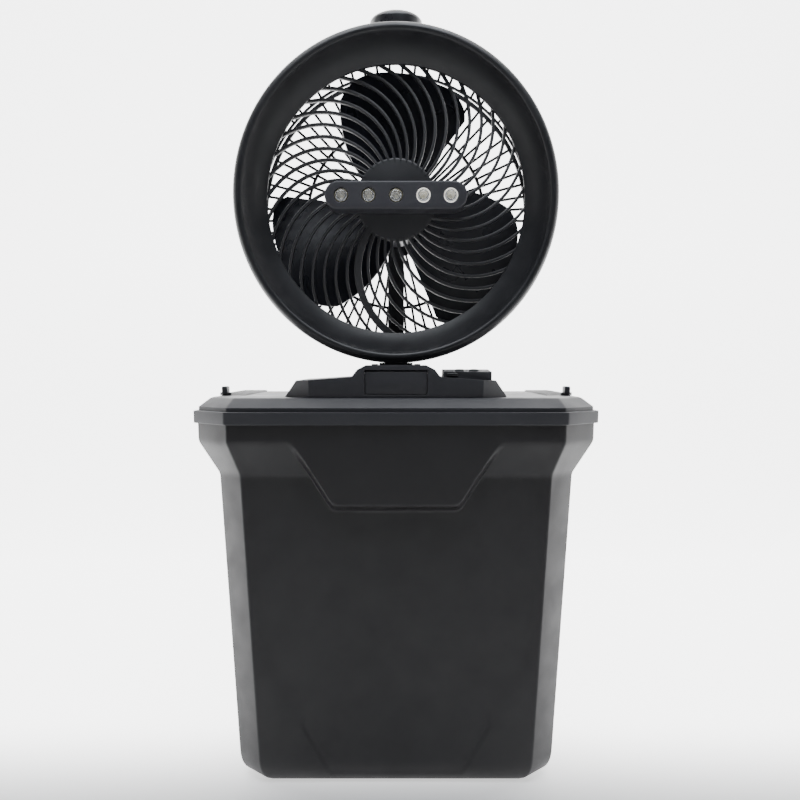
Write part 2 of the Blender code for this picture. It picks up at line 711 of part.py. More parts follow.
def make_controls(plastic, grey, lens, lid_frame):
    plateau = LID_TOP + PLATEAU_HEIGHT
    seat = plateau - MODULE_SINK + FIT
    front, back = -MODULE_FRONT, -MODULE_FRONT + MODULE_DEPTH
    left, right = MODULE_LEFT, MODULE_LEFT + MODULE_WIDTH
    top = plateau + MODULE_HEIGHT
    wall = MODULE_WALL
    section = [(front, seat), (front, top - MODULE_SLANT), (back, top), (back, seat)]
    inner = [(front + wall, seat - wall), (front + wall, top - MODULE_SLANT - wall),
             (back - wall, top - wall), (back - wall, seat - wall)]
    module = prism_x("control_module", left, right, section, plastic, lid_frame)
    cut(module, prism_x("module_hollow", left + wall, right - wall, inner, None, lid_frame))
    slant = math.atan2(MODULE_SLANT, MODULE_DEPTH)
    row = front + BUTTON_SETBACK
    height = top - MODULE_SLANT + BUTTON_SETBACK * math.tan(slant)
    middle = (left + right) / 2
    foot = BUTTON_PROUD - BUTTON_LENGTH
    profile = [(0, BUTTON_PROUD), (BUTTON_RADIUS - BUTTON_ROUND, BUTTON_PROUD),
               (BUTTON_RADIUS, BUTTON_PROUD - BUTTON_ROUND), (BUTTON_RADIUS, foot), (0, foot)]
    for sign, word in ((-1, "power"), (1, "light")):
        place = (middle + sign * BUTTON_PITCH / 2, row, height)
        axis = frame(f"{word}_button_axis", place, lid_frame, (slant, 0, 0))
        cut(module, rod(f"{word}_hole", BUTTON_RADIUS + RUN, (0, 0, -2 * wall), (0, 0, 2 * wall), None, axis))
        turned(f"{word}_button", profile, grey, axis, 24, closed=False)
    low = (left + WINDOW_LEFT, front - WINDOW_PROUD, seat + WINDOW_SILL)
    high = (left + WINDOW_LEFT + WINDOW_WIDTH, front + wall - FIT, seat + WINDOW_SILL + WINDOW_HEIGHT)
    box("indicator_window", low, high, lens, lid_frame)
    cut(module, box("window_slot", [value - FIT for value in low], [value + 2 * FIT for value in high], None,
                    lid_frame))


def make_battery(plastic, cell, board, lid_frame):
    wide, deep = TRAY_WIDTH / 2 - FIT, TRAY_LENGTH / 2 - FIT
    floor = LID_TOP - TRAY_DROP
    rim = LID_TOP + FIT
    tray = box("battery_tray", (-wide, -deep, floor), (wide, deep, rim + FLANGE_THICKNESS / 2), plastic,
               lid_frame)
    join(tray, box("tray_flange", (-wide - TRAY_FLANGE, -deep - TRAY_FLANGE, rim),
                   (wide + TRAY_FLANGE, deep + TRAY_FLANGE, rim + FLANGE_THICKNESS), None, lid_frame))
    cut(tray, box("tray_hollow", (-wide + THIN_WALL, -deep + THIN_WALL, floor + THIN_WALL),
                  (wide - THIN_WALL, deep - THIN_WALL, rim + BEYOND), None, lid_frame))
    inset = THIN_WALL + FIT
    bottom = floor + THIN_WALL + FIT
    top = bottom + PACK_HEIGHT
    pack_end = -wide + inset + PACK_WIDTH
    pack = box("battery_pack", (-wide + inset, -deep + inset, bottom), (pack_end, deep - inset, top), cell,
               lid_frame)
    bevel = pack.modifiers.new("round", "BEVEL")
    bevel.width = PACK_ROUND
    bevel.segments = 2
    near = pack_end + BOARD_GAP
    box("control_board", (near, -deep + inset, bottom), (near + BOARD_THICKNESS, deep - inset, top), board,
        lid_frame)


def make_neck(plastic, steel, nylon, neck_frame):
    floor = LID_TOP + WELL_FLOOR
    disc_top = floor + FIT + NECK_DISC
    stem_foot = LID_TOP + STEM_REACH
    profile = [(WELL_RADIUS - RUN, disc_top), (WELL_RADIUS - RUN, floor + FIT), (STEM_RADIUS, floor + FIT),
               (STEM_RADIUS, stem_foot), (CABLE_BORE, stem_foot), (CABLE_BORE, disc_top)]
    neck = turned("swivel_neck", profile, plastic, neck_frame, 36)
    gap = LUG_WIDTH / 2 + WASHER + 2 * FIT
    for side in (-1, 1):
        near, far = sorted((side * gap, side * NECK_WIDTH / 2))
        join(neck, rod(f"cheek_round_{side}", PIVOT_RADIUS, (near, 0, PIVOT_HEIGHT), (far, 0, PIVOT_HEIGHT),
                       None, neck_frame))
        join(neck, box(f"cheek_{side}", (near, -PIVOT_RADIUS, disc_top - NECK_DISC / 2),
                       (far, PIVOT_RADIUS, PIVOT_HEIGHT), None, neck_frame))
    reach = NECK_WIDTH / 2
    cut(neck, rod("neck_bore", TILT_PIN + FIT, (-reach - FIT, 0, PIVOT_HEIGHT),
                  (reach + FIT, 0, PIVOT_HEIGHT), None, neck_frame, 16))
    rod("tilt_pin", TILT_PIN, (-reach, 0, PIVOT_HEIGHT), (reach, 0, PIVOT_HEIGHT), steel, neck_frame, 16)
    bush = [(BUSH_RADIUS, floor - FIT), (BUSH_RADIUS, floor - THIN_WALL),
            (STEM_RADIUS + FIT, floor - THIN_WALL), (STEM_RADIUS + FIT, floor - FIT)]
    turned("swivel_bush", bush, nylon, neck_frame, 32)
    nut_top = floor - THIN_WALL - FIT
    nut = [circle(STEM_RADIUS + NUT_WALL, 6), circle(STEM_RADIUS + FIT, 48)]
    plate("swivel_nut", nut, nut_top - NUT_THICKNESS, nut_top, steel, neck_frame)
    for side, word in ((-1, "left"), (1, "right")):
        place = side * (LUG_WIDTH / 2 + FIT + WASHER / 2)
        holder = frame(f"tilt_washer_{word}_place", (place, 0, PIVOT_HEIGHT), neck_frame, (0, math.pi / 2, 0))
        ring = [(PIVOT_RADIUS - RUN, WASHER / 2), (PIVOT_RADIUS - RUN, -WASHER / 2),
                (TILT_PIN + FIT, -WASHER / 2), (TILT_PIN + FIT, WASHER / 2)]
        turned(f"tilt_washer_{word}", ring, nylon, holder, 24)


def make_bezel(plastic, fan):
    """The dish: a rolled front rim, a cove in to the opening, and the band that meets the drum."""
    widest = HEAD_FRONT - RIM_ROLL
    steps = 4
    run = math.hypot(RIM_RADIUS - OPENING_RADIUS, DISH_DEPTH)
    lean = (DISH_DEPTH / run, (RIM_RADIUS - OPENING_RADIUS) / run)
    cove = []
    for step in range(steps + 1):
        share = step / steps
        sag = 4 * DISH_SAG * share * (1 - share)
        radius = RIM_RADIUS + (OPENING_RADIUS - RIM_RADIUS) * share
        depth = HEAD_FRONT - DISH_DEPTH * share
        cove.append((radius + sag * lean[0], depth - sag * lean[1]))
    lip_back = DISH_BACK - THIN_WALL
    behind = [(radius + THIN_WALL * lean[0], depth - THIN_WALL * lean[1]) for radius, depth in cove[1:-1]]
    behind += [(OPENING_RADIUS + THIN_WALL, lip_back), (OPENING_RADIUS, lip_back)]
    roll = [(RIM_RADIUS + RIM_LIP, HEAD_FRONT - RIM_LIP_BACK), (HEAD_RADIUS - RIM_LIP / 3, widest + RIM_LIP),
            (HEAD_RADIUS, widest)]
    inner = HEAD_RADIUS - THIN_WALL
    band = [(HEAD_RADIUS, SEAM + FIT), (inner, SEAM + FIT), (inner, widest)]
    turned("bezel", roll + band + behind + cove[::-1], plastic, fan, HEAD_SIDES)


def make_drum(plastic, fan):
    inner = DRUM_RADIUS - THIN_WALL
    steps = 3
    corner = []
    for step in range(steps + 1):
        angle = math.pi / 2 * step / steps
        corner.append((math.cos(angle), math.sin(angle)))
    outer = [(DRUM_RADIUS - REAR_ROUND + REAR_ROUND * c, REAR_FACE + REAR_ROUND - REAR_ROUND * s)
             for c, s in corner]
    tight = REAR_ROUND - THIN_WALL
    inside = [(DRUM_RADIUS - REAR_ROUND + tight * c, REAR_FACE + REAR_ROUND - tight * s) for c, s in corner]
    profile = [(DRUM_RADIUS, SEAM)] + outer + inside[::-1] + [(inner, SEAM)]
    drum = turned("drum_shell", profile, plastic, fan, HEAD_SIDES)
    pivot = PIVOT_HEIGHT - FAN_AXIS
    half = LUG_WIDTH / 2
    join(drum, rod("lug_round", PIVOT_RADIUS, (-half, pivot, 0), (half, pivot, 0), None, fan))
    join(drum, box("lug_web", (-half, pivot, -PIVOT_RADIUS),
                   (half, THIN_WALL / 2 - DRUM_RADIUS, PIVOT_RADIUS), None, fan))
    cut(drum, rod("lug_bore", TILT_PIN + FIT, (-half - FIT, pivot, 0), (half + FIT, pivot, 0), None, fan, 16))
    seat_top = DRUM_RADIUS + DIAL_SEAT
    join(drum, rod("dial_seat", DIAL_RADIUS - DIAL_SEAT_INSET, (0, inner + THIN_WALL / 4, 0),
                   (0, seat_top, 0), None, fan, 32))
    cut(drum, rod("dial_bore", DIAL_SHAFT + RUN, (0, inner - BEYOND, 0), (0, seat_top + BEYOND, 0), None,
                  fan))
    low, high = DRUM_RADIUS - REAR_ROUND + CORNER_SLOT_INNER, DRUM_RADIUS + BEYOND
    for index in range(CORNER_SLOTS):
        outline = spoke_gap(low, high, CORNER_SLOTS, index)
        cut(drum, plate(f"corner_slot_{index}", [outline], REAR_FACE - BEYOND,
                        REAR_FACE + CORNER_SLOT_REACH, None, fan))


def slot_between(low, high, first, second, steps):
    """A slot's outline: out along one edge and back along the other, each a function of radius."""
    radii = [low + (high - low) * step / steps for step in range(steps + 1)]
    out = [(radius * math.cos(first(radius)), radius * math.sin(first(radius))) for radius in radii]
    home = [(radius * math.cos(second(radius)), radius * math.sin(second(radius))) for radius in radii[::-1]]
    return out + home


def spoke_gap(low, high, count, index):
    """The gap between two straight spokes, the first spoke of the round being the one that points down."""
    start = math.tau * index / count - math.pi / 2

    def first(radius):
        return start + SPOKE_WIDTH / 2 / radius

    def second(radius):
        return start + math.tau / count - SPOKE_WIDTH / 2 / radius

    return slot_between(low, high, first, second, 1)


def make_front_grille(plastic, fan):
    low, high = HUB_RADIUS, OPENING_RADIUS - RUN
    pitch = math.tau / FRONT_RIBS

    def spiral(radius):
        share = (radius - low) / (high - low)
        return SPIRAL_LINEAR * share + SPIRAL_SQUARE * share * share

    def lean(radius):
        """How much wider a rib is measured round the circle than across itself."""
        slope = (SPIRAL_LINEAR + 2 * SPIRAL_SQUARE * (radius - low) / (high - low)) / (high - low)
        return math.hypot(1, radius * slope)

    outlines = [circle(GRILLE_RADIUS, HEAD_SIDES)]
    wide_at = 10
    for index in range(FRONT_RIBS):
        first_rib = WIDE_RIB if index == wide_at else RIB_WIDTH
        second_rib = WIDE_RIB if (index + 1) % FRONT_RIBS == wide_at else RIB_WIDTH
        start = WIDE_RIB_ANGLE + pitch * (index - wide_at)

        def first(radius):
            return start + spiral(radius) + first_rib / 2 * lean(radius) / radius

        def second(radius):
            return start + pitch + spiral(radius) - second_rib / 2 * lean(radius) / radius

        outlines.append(slot_between(low, high, first, second, SLOT_STEPS))

    def dome(radius):
        share = min(1.0, max(0.0, (OPENING_RADIUS - radius) / (OPENING_RADIUS - HUB_RADIUS)))
        return GRILLE_RISE * (1 - (1 - share) ** 2)

    grille = plate("front_grille", outlines, GRILLE_FRONT - GRILLE_THICKNESS, GRILLE_FRONT, plastic, fan,
                   dome)
    lap, clear = OPENING_RADIUS - RUN / 2, GRILLE_RADIUS + RUN
    land = [(clear, HUB_FRONT), (clear, GRILLE_FRONT), (lap, GRILLE_FRONT), (lap, HUB_FRONT)]
    cut(grille, turned("grille_land", land, None, fan, HEAD_SIDES))


def make_rear_grille(plastic, steel, fan):
    outlines = [circle(REAR_PLATE_RADIUS, HEAD_SIDES)]
    inset = REAR_RING_WIDTH / 2
    zones = [(REAR_HUB, REAR_RING_INNER - inset, REAR_SPOKES_INNER),
             (REAR_RING_INNER + inset, REAR_RING_OUTER - inset, REAR_SPOKES_OUTER)]
    for low, high, count in zones:
        outlines += [spoke_gap(low, high, count, index) for index in range(count)]
    places = circle(SCREW_RING, 4, start=math.pi / 4)
    outlines += [circle(SCREW_RADIUS + FIT, 12, place) for place in places]
    plate("rear_grille", outlines, REAR_FACE, REAR_FACE + REAR_THICKNESS, plastic, fan)
    tip = MOTOR_BACK + MOTOR_WALL - FIT
    head = REAR_FACE - FIT
    profile = [(0, tip), (SCREW_RADIUS, tip), (SCREW_RADIUS, head), (SCREW_HEAD, head),
               (SCREW_HEAD, head - SCREW_HEAD_EDGE), (SCREW_HEAD - FIT, head - SCREW_HEAD_HEIGHT),
               (0, head - SCREW_HEAD_HEIGHT)]
    for index, (x, y) in enumerate(places):
        turned(f"motor_screw_{index + 1}", profile, steel, fan, 12, (x, y, 0), closed=False)
    duct_back = MOTOR_BACK
    duct_front = duct_back + DUCT_DEPTH
    half = DUCT_WIDTH / 2
    start, end = -(MOTOR_RADIUS + RUN), -(REAR_RING_OUTER - REAR_RING_WIDTH)
    duct = box("cable_duct", (-half, end, duct_back), (half, start, duct_front), plastic, fan)
    cut(duct, box("duct_channel", (-half + DUCT_WALL, end - BEYOND, duct_back - BEYOND),
                  (half - DUCT_WALL, start + BEYOND, duct_front - DUCT_WALL), None, fan))


def make_motor(zinc, copper, steel, fan):
    front, back = MOTOR_FRONT, MOTOR_BACK
    bore = BEARING_RADIUS + FIT
    inner = MOTOR_RADIUS - MOTOR_WALL
    profile = [(bore, front), (MOTOR_RADIUS - MOTOR_EDGE, front), (MOTOR_RADIUS, front - MOTOR_EDGE),
               (MOTOR_RADIUS, back), (bore, back), (bore, back + MOTOR_WALL), (inner, back + MOTOR_WALL),
               (inner, front - MOTOR_WALL), (bore, front - MOTOR_WALL)]
    can = turned("motor_housing", profile, zinc, fan, 32)
    for index, (x, y) in enumerate(circle(SCREW_RING, 4, start=math.pi / 4)):
        cut(can, rod(f"motor_tap_{index}", SCREW_RADIUS + FIT, (x, y, back - BEYOND),
                     (x, y, back + TAP_DEPTH), None, fan, 12))
    winding = inner - FIT
    low, high = back + MOTOR_WALL + BEARING_WIDTH, front - MOTOR_WALL - BEARING_WIDTH
    turned("motor_stator", [(winding, high), (winding, low), (winding - STATOR_WALL, low),
                            (winding - STATOR_WALL, high)], copper, fan, 36)
    for word, face in (("front", front), ("rear", back + BEARING_WIDTH)):
        ring = [(BEARING_RADIUS, face), (BEARING_RADIUS, face - BEARING_WIDTH),
                (SHAFT_RADIUS + FIT, face - BEARING_WIDTH), (SHAFT_RADIUS + FIT, face)]
        turned(f"{word}_bearing", ring, steel, fan, 24)


def make_rotor(plastic, magnet, steel, fan):
    spin = frame("fan_spin_axis", (0, 0, 0), fan)
    shaft_end = HUB_CAP_FRONT + SHAFT_REACH
    rod("motor_shaft", SHAFT_RADIUS, (0, 0, MOTOR_BACK + FIT), (0, 0, shaft_end), steel, spin, 20)
    low = MOTOR_BACK + MOTOR_WALL + BEARING_WIDTH + FIT
    high = MOTOR_FRONT - MOTOR_WALL - BEARING_WIDTH - FIT
    bore = SHAFT_RADIUS + FIT
    core = [(ROTOR_RADIUS, high), (ROTOR_RADIUS, low), (bore, low), (bore, high)]
    turned("motor_rotor", core, magnet, spin, 32)
    front, back = HUB_CAP_FRONT, HUB_CAP_FRONT - HUB_CAP_LENGTH
    floor = front - HUB_CAP_FLOOR
    inner = HUB_CAP_RADIUS - THIN_WALL
    boss_end = MOTOR_FRONT + 2 * RUN
    nip = HUB_CAP_ROUND * (1 - math.sqrt(0.5))
    cap = [(bore, front), (HUB_CAP_RADIUS - HUB_CAP_ROUND, front), (HUB_CAP_RADIUS - nip, front - nip),
           (HUB_CAP_RADIUS, front - HUB_CAP_ROUND), (HUB_CAP_RADIUS, back), (inner, back), (inner, floor),
           (HUB_BOSS, floor), (HUB_BOSS, boss_end), (bore, boss_end)]
    impeller = turned("impeller", cap, plastic, spin, 32)
    for index in range(BLADES):
        join(impeller, make_blade(f"blade_{index + 1}", math.tau * index / BLADES, spin))
    nut_back = front + FIT
    plate("impeller_nut", [circle(IMPELLER_NUT, 6), circle(bore, 24)], nut_back,
          nut_back + IMPELLER_NUT_LENGTH, steel, spin)


def make_blade(name, turn, spin):
    """A paddle blade: one edge straight, the other swept back, and the tip corners rounded."""
    across, along = 8, 5
    root = HUB_CAP_RADIUS - THIN_WALL + FIT
    bm = bmesh.new()
    rows = []
    for step in range(along + 1):
        row = []
        for part in range(across + 1):
            share = part / across
            tip = TIP_RADIUS - TIP_ROUND * abs(2 * share - 1) ** TIP_SQUARENESS
            radius = root + (tip - root) * step / along
            swept = BLADE_SWEPT_EDGE + BLADE_SWEEP * (TIP_RADIUS - radius)
            angle = BLADE_STRAIGHT_EDGE + (swept - BLADE_STRAIGHT_EDGE) * share + turn
            height = BLADE_REAR + (BLADE_FRONT - BLADE_REAR) * share
            height += BLADE_CAMBER * math.sin(math.pi * share)
            row.append(bm.verts.new((radius * math.cos(angle), radius * math.sin(angle), height)))
        rows.append(row)
    for lower, upper in zip(rows, rows[1:]):
        for part in range(across):
            bm.faces.new((lower[part], upper[part], upper[part + 1], lower[part + 1]))
    mesh = bpy.data.meshes.new(name)
    bm.to_mesh(mesh)
    bm.free()
    blade = finish_object(name, mesh, None, spin, (0, 0, 0), (0, 0, 0))
    solid = blade.modifiers.new("thickness", "SOLIDIFY")
    solid.thickness = BLADE_THICKNESS
    solid.offset = 0
    return blade


def make_light_bar(plastic, board, silver, fan):
    housing = plate("led_bar_housing", [stadium(BAR_WIDTH, BAR_HEIGHT)], BAR_BACK, BAR_FRONT, plastic, fan)
    slim = stadium(BAR_WIDTH - 2 * BAR_WALL, BAR_HEIGHT - 2 * BAR_WALL)
    cut(housing, plate("bar_hollow", [slim], BAR_BACK - BEYOND, BAR_FRONT - BAR_WALL, None, fan))
    lens_back = BAR_FRONT - BAR_WALL - LENS_DEPTH
    board_outline = stadium(BAR_WIDTH - 4 * BAR_WALL, BAR_HEIGHT - 4 * BAR_WALL)
    plate("led_board", [board_outline], lens_back - FIT - BOARD_THICKNESS, lens_back - FIT, board, fan)
    outer = LED_HOLE - FIT
    face = BAR_FRONT - LENS_INSET
    cup = [(0, lens_back + LENS_FLOOR), (LENS_FLOOR_RADIUS, lens_back + LENS_FLOOR), (outer - LENS_RIM, face),
           (outer, face), (outer, lens_back), (0, lens_back)]
    for index in range(LED_COUNT):
        x = LED_PITCH * (index - (LED_COUNT - 1) / 2)
        cut(housing, rod(f"led_hole_{index}", LED_HOLE, (x, 0, BAR_FRONT - 2 * BAR_WALL),
                         (x, 0, BAR_FRONT + BEYOND), None, fan))
        turned(f"led_lens_{index + 1}", cup, silver, fan, 24, (x, 0, 0), closed=False)


def make_dial(plastic, steel, switch, tilt):
    wall_outside = FAN_AXIS - PIVOT_HEIGHT + DRUM_RADIUS
    wall_inside = wall_outside - THIN_WALL
    base = wall_outside + DIAL_SEAT
    axis = frame("speed_dial_axis", (0, 0, base), tilt)
    turns = [math.pi / 2 * step / 4 for step in range(5)]
    shoulder = [(DIAL_RADIUS - DIAL_DOME * (1 - math.sin(a)), DIAL_HEIGHT - DIAL_SHOULDER * (1 - math.cos(a)))
                for a in turns]
    bore = DIAL_SHAFT + FIT
    boss = bore + DIAL_BOSS_WALL
    inner = DIAL_RADIUS - DIAL_WALL
    ceiling = DIAL_HEIGHT - DIAL_SHOULDER - DIAL_WALL
    shaft_top = DIAL_HEIGHT - DIAL_FLOOR
    profile = [(0, DIAL_HEIGHT)] + shoulder
    profile += [(DIAL_RADIUS, FIT), (inner, FIT), (inner, ceiling), (boss, ceiling), (boss, DIAL_WALL),
                (bore, DIAL_WALL), (bore, shaft_top), (0, shaft_top)]
    turned("speed_dial", profile, plastic, axis, 36, closed=False)
    rod("dial_spindle", DIAL_SHAFT, (0, 0, wall_inside - base - SPINDLE_REACH), (0, 0, shaft_top - FIT),
        steel, axis, 16)
    top = wall_inside - SAGITTA_GAP
    body = box("dial_switch", (-SWITCH_HALF, -SWITCH_HALF, top - SWITCH_DEPTH),
               (SWITCH_HALF, SWITCH_HALF, top), switch, tilt)
    cut(body, rod("switch_bore", DIAL_SHAFT + RUN, (0, 0, top - SWITCH_DEPTH - BEYOND),
                  (0, 0, top + BEYOND), None, tilt, 16))


def main():
    clear_scene()
    make_collections()
    tank_black = material("tank_black", (0.012, 0.012, 0.013), 0.42)
    charcoal = material("charcoal_plastic", (0.03, 0.03, 0.034), 0.48)
    bar_grey = material("bar_grey", (0.05, 0.05, 0.057), 0.5)
    navy = material("blade_plastic", (0.01, 0.011, 0.02), 0.3)
    rubber = material("rubber", (0.01, 0.01, 0.01), 0.8)
    nylon = material("nylon", (0.5, 0.49, 0.45), 0.5)
    steel = material("steel", (0.55, 0.55, 0.56), 0.3, 1.0)
    zinc = material("zinc", (0.4, 0.41, 0.42), 0.4, 1.0)
    copper = material("windings", (0.45, 0.2, 0.09), 0.4, 1.0)
    magnet = material("magnet", (0.08, 0.08, 0.085), 0.35, 1.0)
    silver = material("reflector", (0.85, 0.85, 0.84), 0.12, 1.0)
    board = material("board_green", (0.02, 0.1, 0.05), 0.5)
    cell = material("battery_wrap", (0.03, 0.06, 0.12), 0.4)
    lens = material("indicator_lens", (0.15, 0.16, 0.15), 0.15)

    make_tank(tank_black)
    lid_frame = frame("lid_lift_frame", (0, 0, 0))
    make_lid(charcoal, rubber, lid_frame)
    make_locks(charcoal, nylon, lid_frame)
    make_pedestal(charcoal, lid_frame)
    make_port(charcoal, steel, rubber, lid_frame)
    make_controls(charcoal, bar_grey, lens, lid_frame)
    make_battery(charcoal, cell, board, lid_frame)
    neck_frame = frame("swivel_axis", (0, 0, 0), lid_frame)
    make_neck(charcoal, steel, nylon, neck_frame)
    tilt = frame("tilt_axis", (0, 0, PIVOT_HEIGHT), neck_frame)
    fan = frame("fan_axis", (0, 0, FAN_AXIS - PIVOT_HEIGHT), tilt, (math.pi / 2, 0, 0))
    make_bezel(charcoal, fan)
    make_drum(charcoal, fan)
    make_front_grille(charcoal, fan)
    make_rear_grille(charcoal, steel, fan)
    make_motor(zinc, copper, steel, fan)
    make_rotor(navy, magnet, steel, fan)
    make_light_bar(bar_grey, board, silver, fan)
    make_dial(charcoal, steel, rubber, tilt)


main()
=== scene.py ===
"""Looks of the tank-top fan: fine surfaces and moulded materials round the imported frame."""

import json
import math

import bmesh
import bpy
from mathutils import Matrix, Vector


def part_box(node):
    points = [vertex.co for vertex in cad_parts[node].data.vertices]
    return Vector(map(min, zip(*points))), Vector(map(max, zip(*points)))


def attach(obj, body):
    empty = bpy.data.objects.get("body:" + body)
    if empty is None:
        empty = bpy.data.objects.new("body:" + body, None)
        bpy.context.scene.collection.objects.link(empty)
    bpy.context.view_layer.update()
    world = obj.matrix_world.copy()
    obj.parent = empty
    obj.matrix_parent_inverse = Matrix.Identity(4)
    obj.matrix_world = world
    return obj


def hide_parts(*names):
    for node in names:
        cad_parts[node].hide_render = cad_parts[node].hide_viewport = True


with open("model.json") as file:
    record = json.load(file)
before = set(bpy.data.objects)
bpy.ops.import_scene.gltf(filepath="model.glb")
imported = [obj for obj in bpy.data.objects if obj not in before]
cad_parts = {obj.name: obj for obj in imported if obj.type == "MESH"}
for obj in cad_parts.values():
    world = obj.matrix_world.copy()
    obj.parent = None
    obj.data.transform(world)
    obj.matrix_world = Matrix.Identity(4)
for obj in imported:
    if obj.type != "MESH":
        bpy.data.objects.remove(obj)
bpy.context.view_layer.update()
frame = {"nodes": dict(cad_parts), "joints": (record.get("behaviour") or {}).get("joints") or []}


def joint(name):
    return next(found for found in frame["joints"] if found["name"] == name)


# Places, from the frame
TANK_LOW, TANK_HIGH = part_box("tank_shell")
LID_LOW, LID_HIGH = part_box("lid")
PED_LOW, PED_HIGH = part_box("pedestal_cover")
MODULE_LOW, MODULE_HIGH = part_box("control_module")
BEZEL_LOW, BEZEL_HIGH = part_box("bezel")
DRUM_LOW, DRUM_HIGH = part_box("drum_shell")
GRILLE_LOW, GRILLE_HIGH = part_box("front_grille")
REAR_LOW, REAR_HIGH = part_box("rear_grille")
BAR_LOW, BAR_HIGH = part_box("led_bar_housing")
DIAL_LOW, DIAL_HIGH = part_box("speed_dial")
CAP_LOW, CAP_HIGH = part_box("impeller")
FAN_Z = joint("fan_spin")["pos_m"][2]
HEAD = Matrix.Translation((0, 0, FAN_Z)) @ Matrix.Rotation(math.pi / 2, 4, "X")
HERE = Matrix.Identity(4)

# Moulded walls and fits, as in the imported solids
WALL = 0.003
THIN = 0.0025
FIT = 0.0003

# The tank
COLLAR = 0.024
SHOULDER = 0.0315
SHOULDER_IN = 0.0175
DRAFT = 0.010
FOOT_IN = 0.013
FOOT_UP = 0.028
FOOT_SHARPNESS = 2.6
COLLAR_CUT = 0.033
BODY_CUT = 0.024
EDGE = 0.004
BIB = [(-0.099, 0.348), (-0.059, 0.283), (0.059, 0.283), (0.099, 0.348)]
RELIEF = [(-0.091, 0.059), (-0.066, 0.011), (0.066, 0.011), (0.091, 0.059)]
RELIEF_DEPTH = 0.0012

# The head, in its own frame: X right, Y up, Z towards the front
HEAD_RADIUS = BEZEL_HIGH.x
HEAD_FRONT = -BEZEL_LOW.y
SEAM = -BEZEL_HIGH.y
DRUM_RADIUS = DRUM_HIGH.x
REAR_FACE = -DRUM_HIGH.y
OPENING = GRILLE_HIGH.x - 0.006
RIM = 0.1439
DISH_DEPTH = 0.0276
DISH_SAG = 0.003
ROLL = 0.010
HUB = 0.038
GRILLE_BASE = HEAD_FRONT - DISH_DEPTH - THIN - FIT
RISE = 0.0135
RIBS = 40
RIB_WIDTH = 0.0029
WIDE_RIB = 0.0072
WIDE_START = math.radians(227.5)
SPIRAL = (math.radians(23.4), math.radians(16.2))
REAR_RINGS = (0.0935, 0.1375)
RING_HALF = 0.0015
SPOKE_WIDTH = 0.0025
SPOKES = (46, 69)
REAR_HUB = 0.040
REAR_ROUND = 0.011
CORNER_RIBS = 71
CORNER_REACH = 0.018
CORNER_RING = 0.0033
CORNER_TURN = math.radians(74)
BOSS_INSET = 0.0025
BOSS_FLARE = 0.0055
BOSS_BORE = 0.0035
BOSS_EDGE = 0.0006
LUG_HALF = 0.017
LUG_ROUND = 0.0063
LUG_UP = 0.0074
LUG_BORE = 0.0023
DIAL_DOME = 0.0138
DIAL_SHOULDER = 0.0074

# The impeller
BLADES = 3
TIP = 0.1265
TIP_ROUND = 0.014
TIP_SQUARENESS = 7
STRAIGHT_EDGE = math.radians(52)
SWEPT_EDGE = math.radians(114)
SWEEP = math.radians(327)
BLADE_REAR = -0.026
BLADE_FRONT = 0.010
BLADE_CAMBER = 0.004
BLADE_THICKNESS = 0.0022
CAP_LENGTH = 0.040
HUB_CAP = 0.034


# ---- materials ----

def add_node(tree, kind, **settings):
    made = tree.nodes.new(kind)
    for name, value in settings.items():
        setattr(made, name, value)
    return made


def surface_noise(tree, scale, detail, roughness=0.55):
    """Noise laid out in the object's own metres."""
    place = add_node(tree, "ShaderNodeTexCoord")
    made = add_node(tree, "ShaderNodeTexNoise")
    made.inputs["Scale"].default_value = scale
    made.inputs["Detail"].default_value = detail
    made.inputs["Roughness"].default_value = roughness
    tree.links.new(place.outputs["Object"], made.inputs["Vector"])
    return made


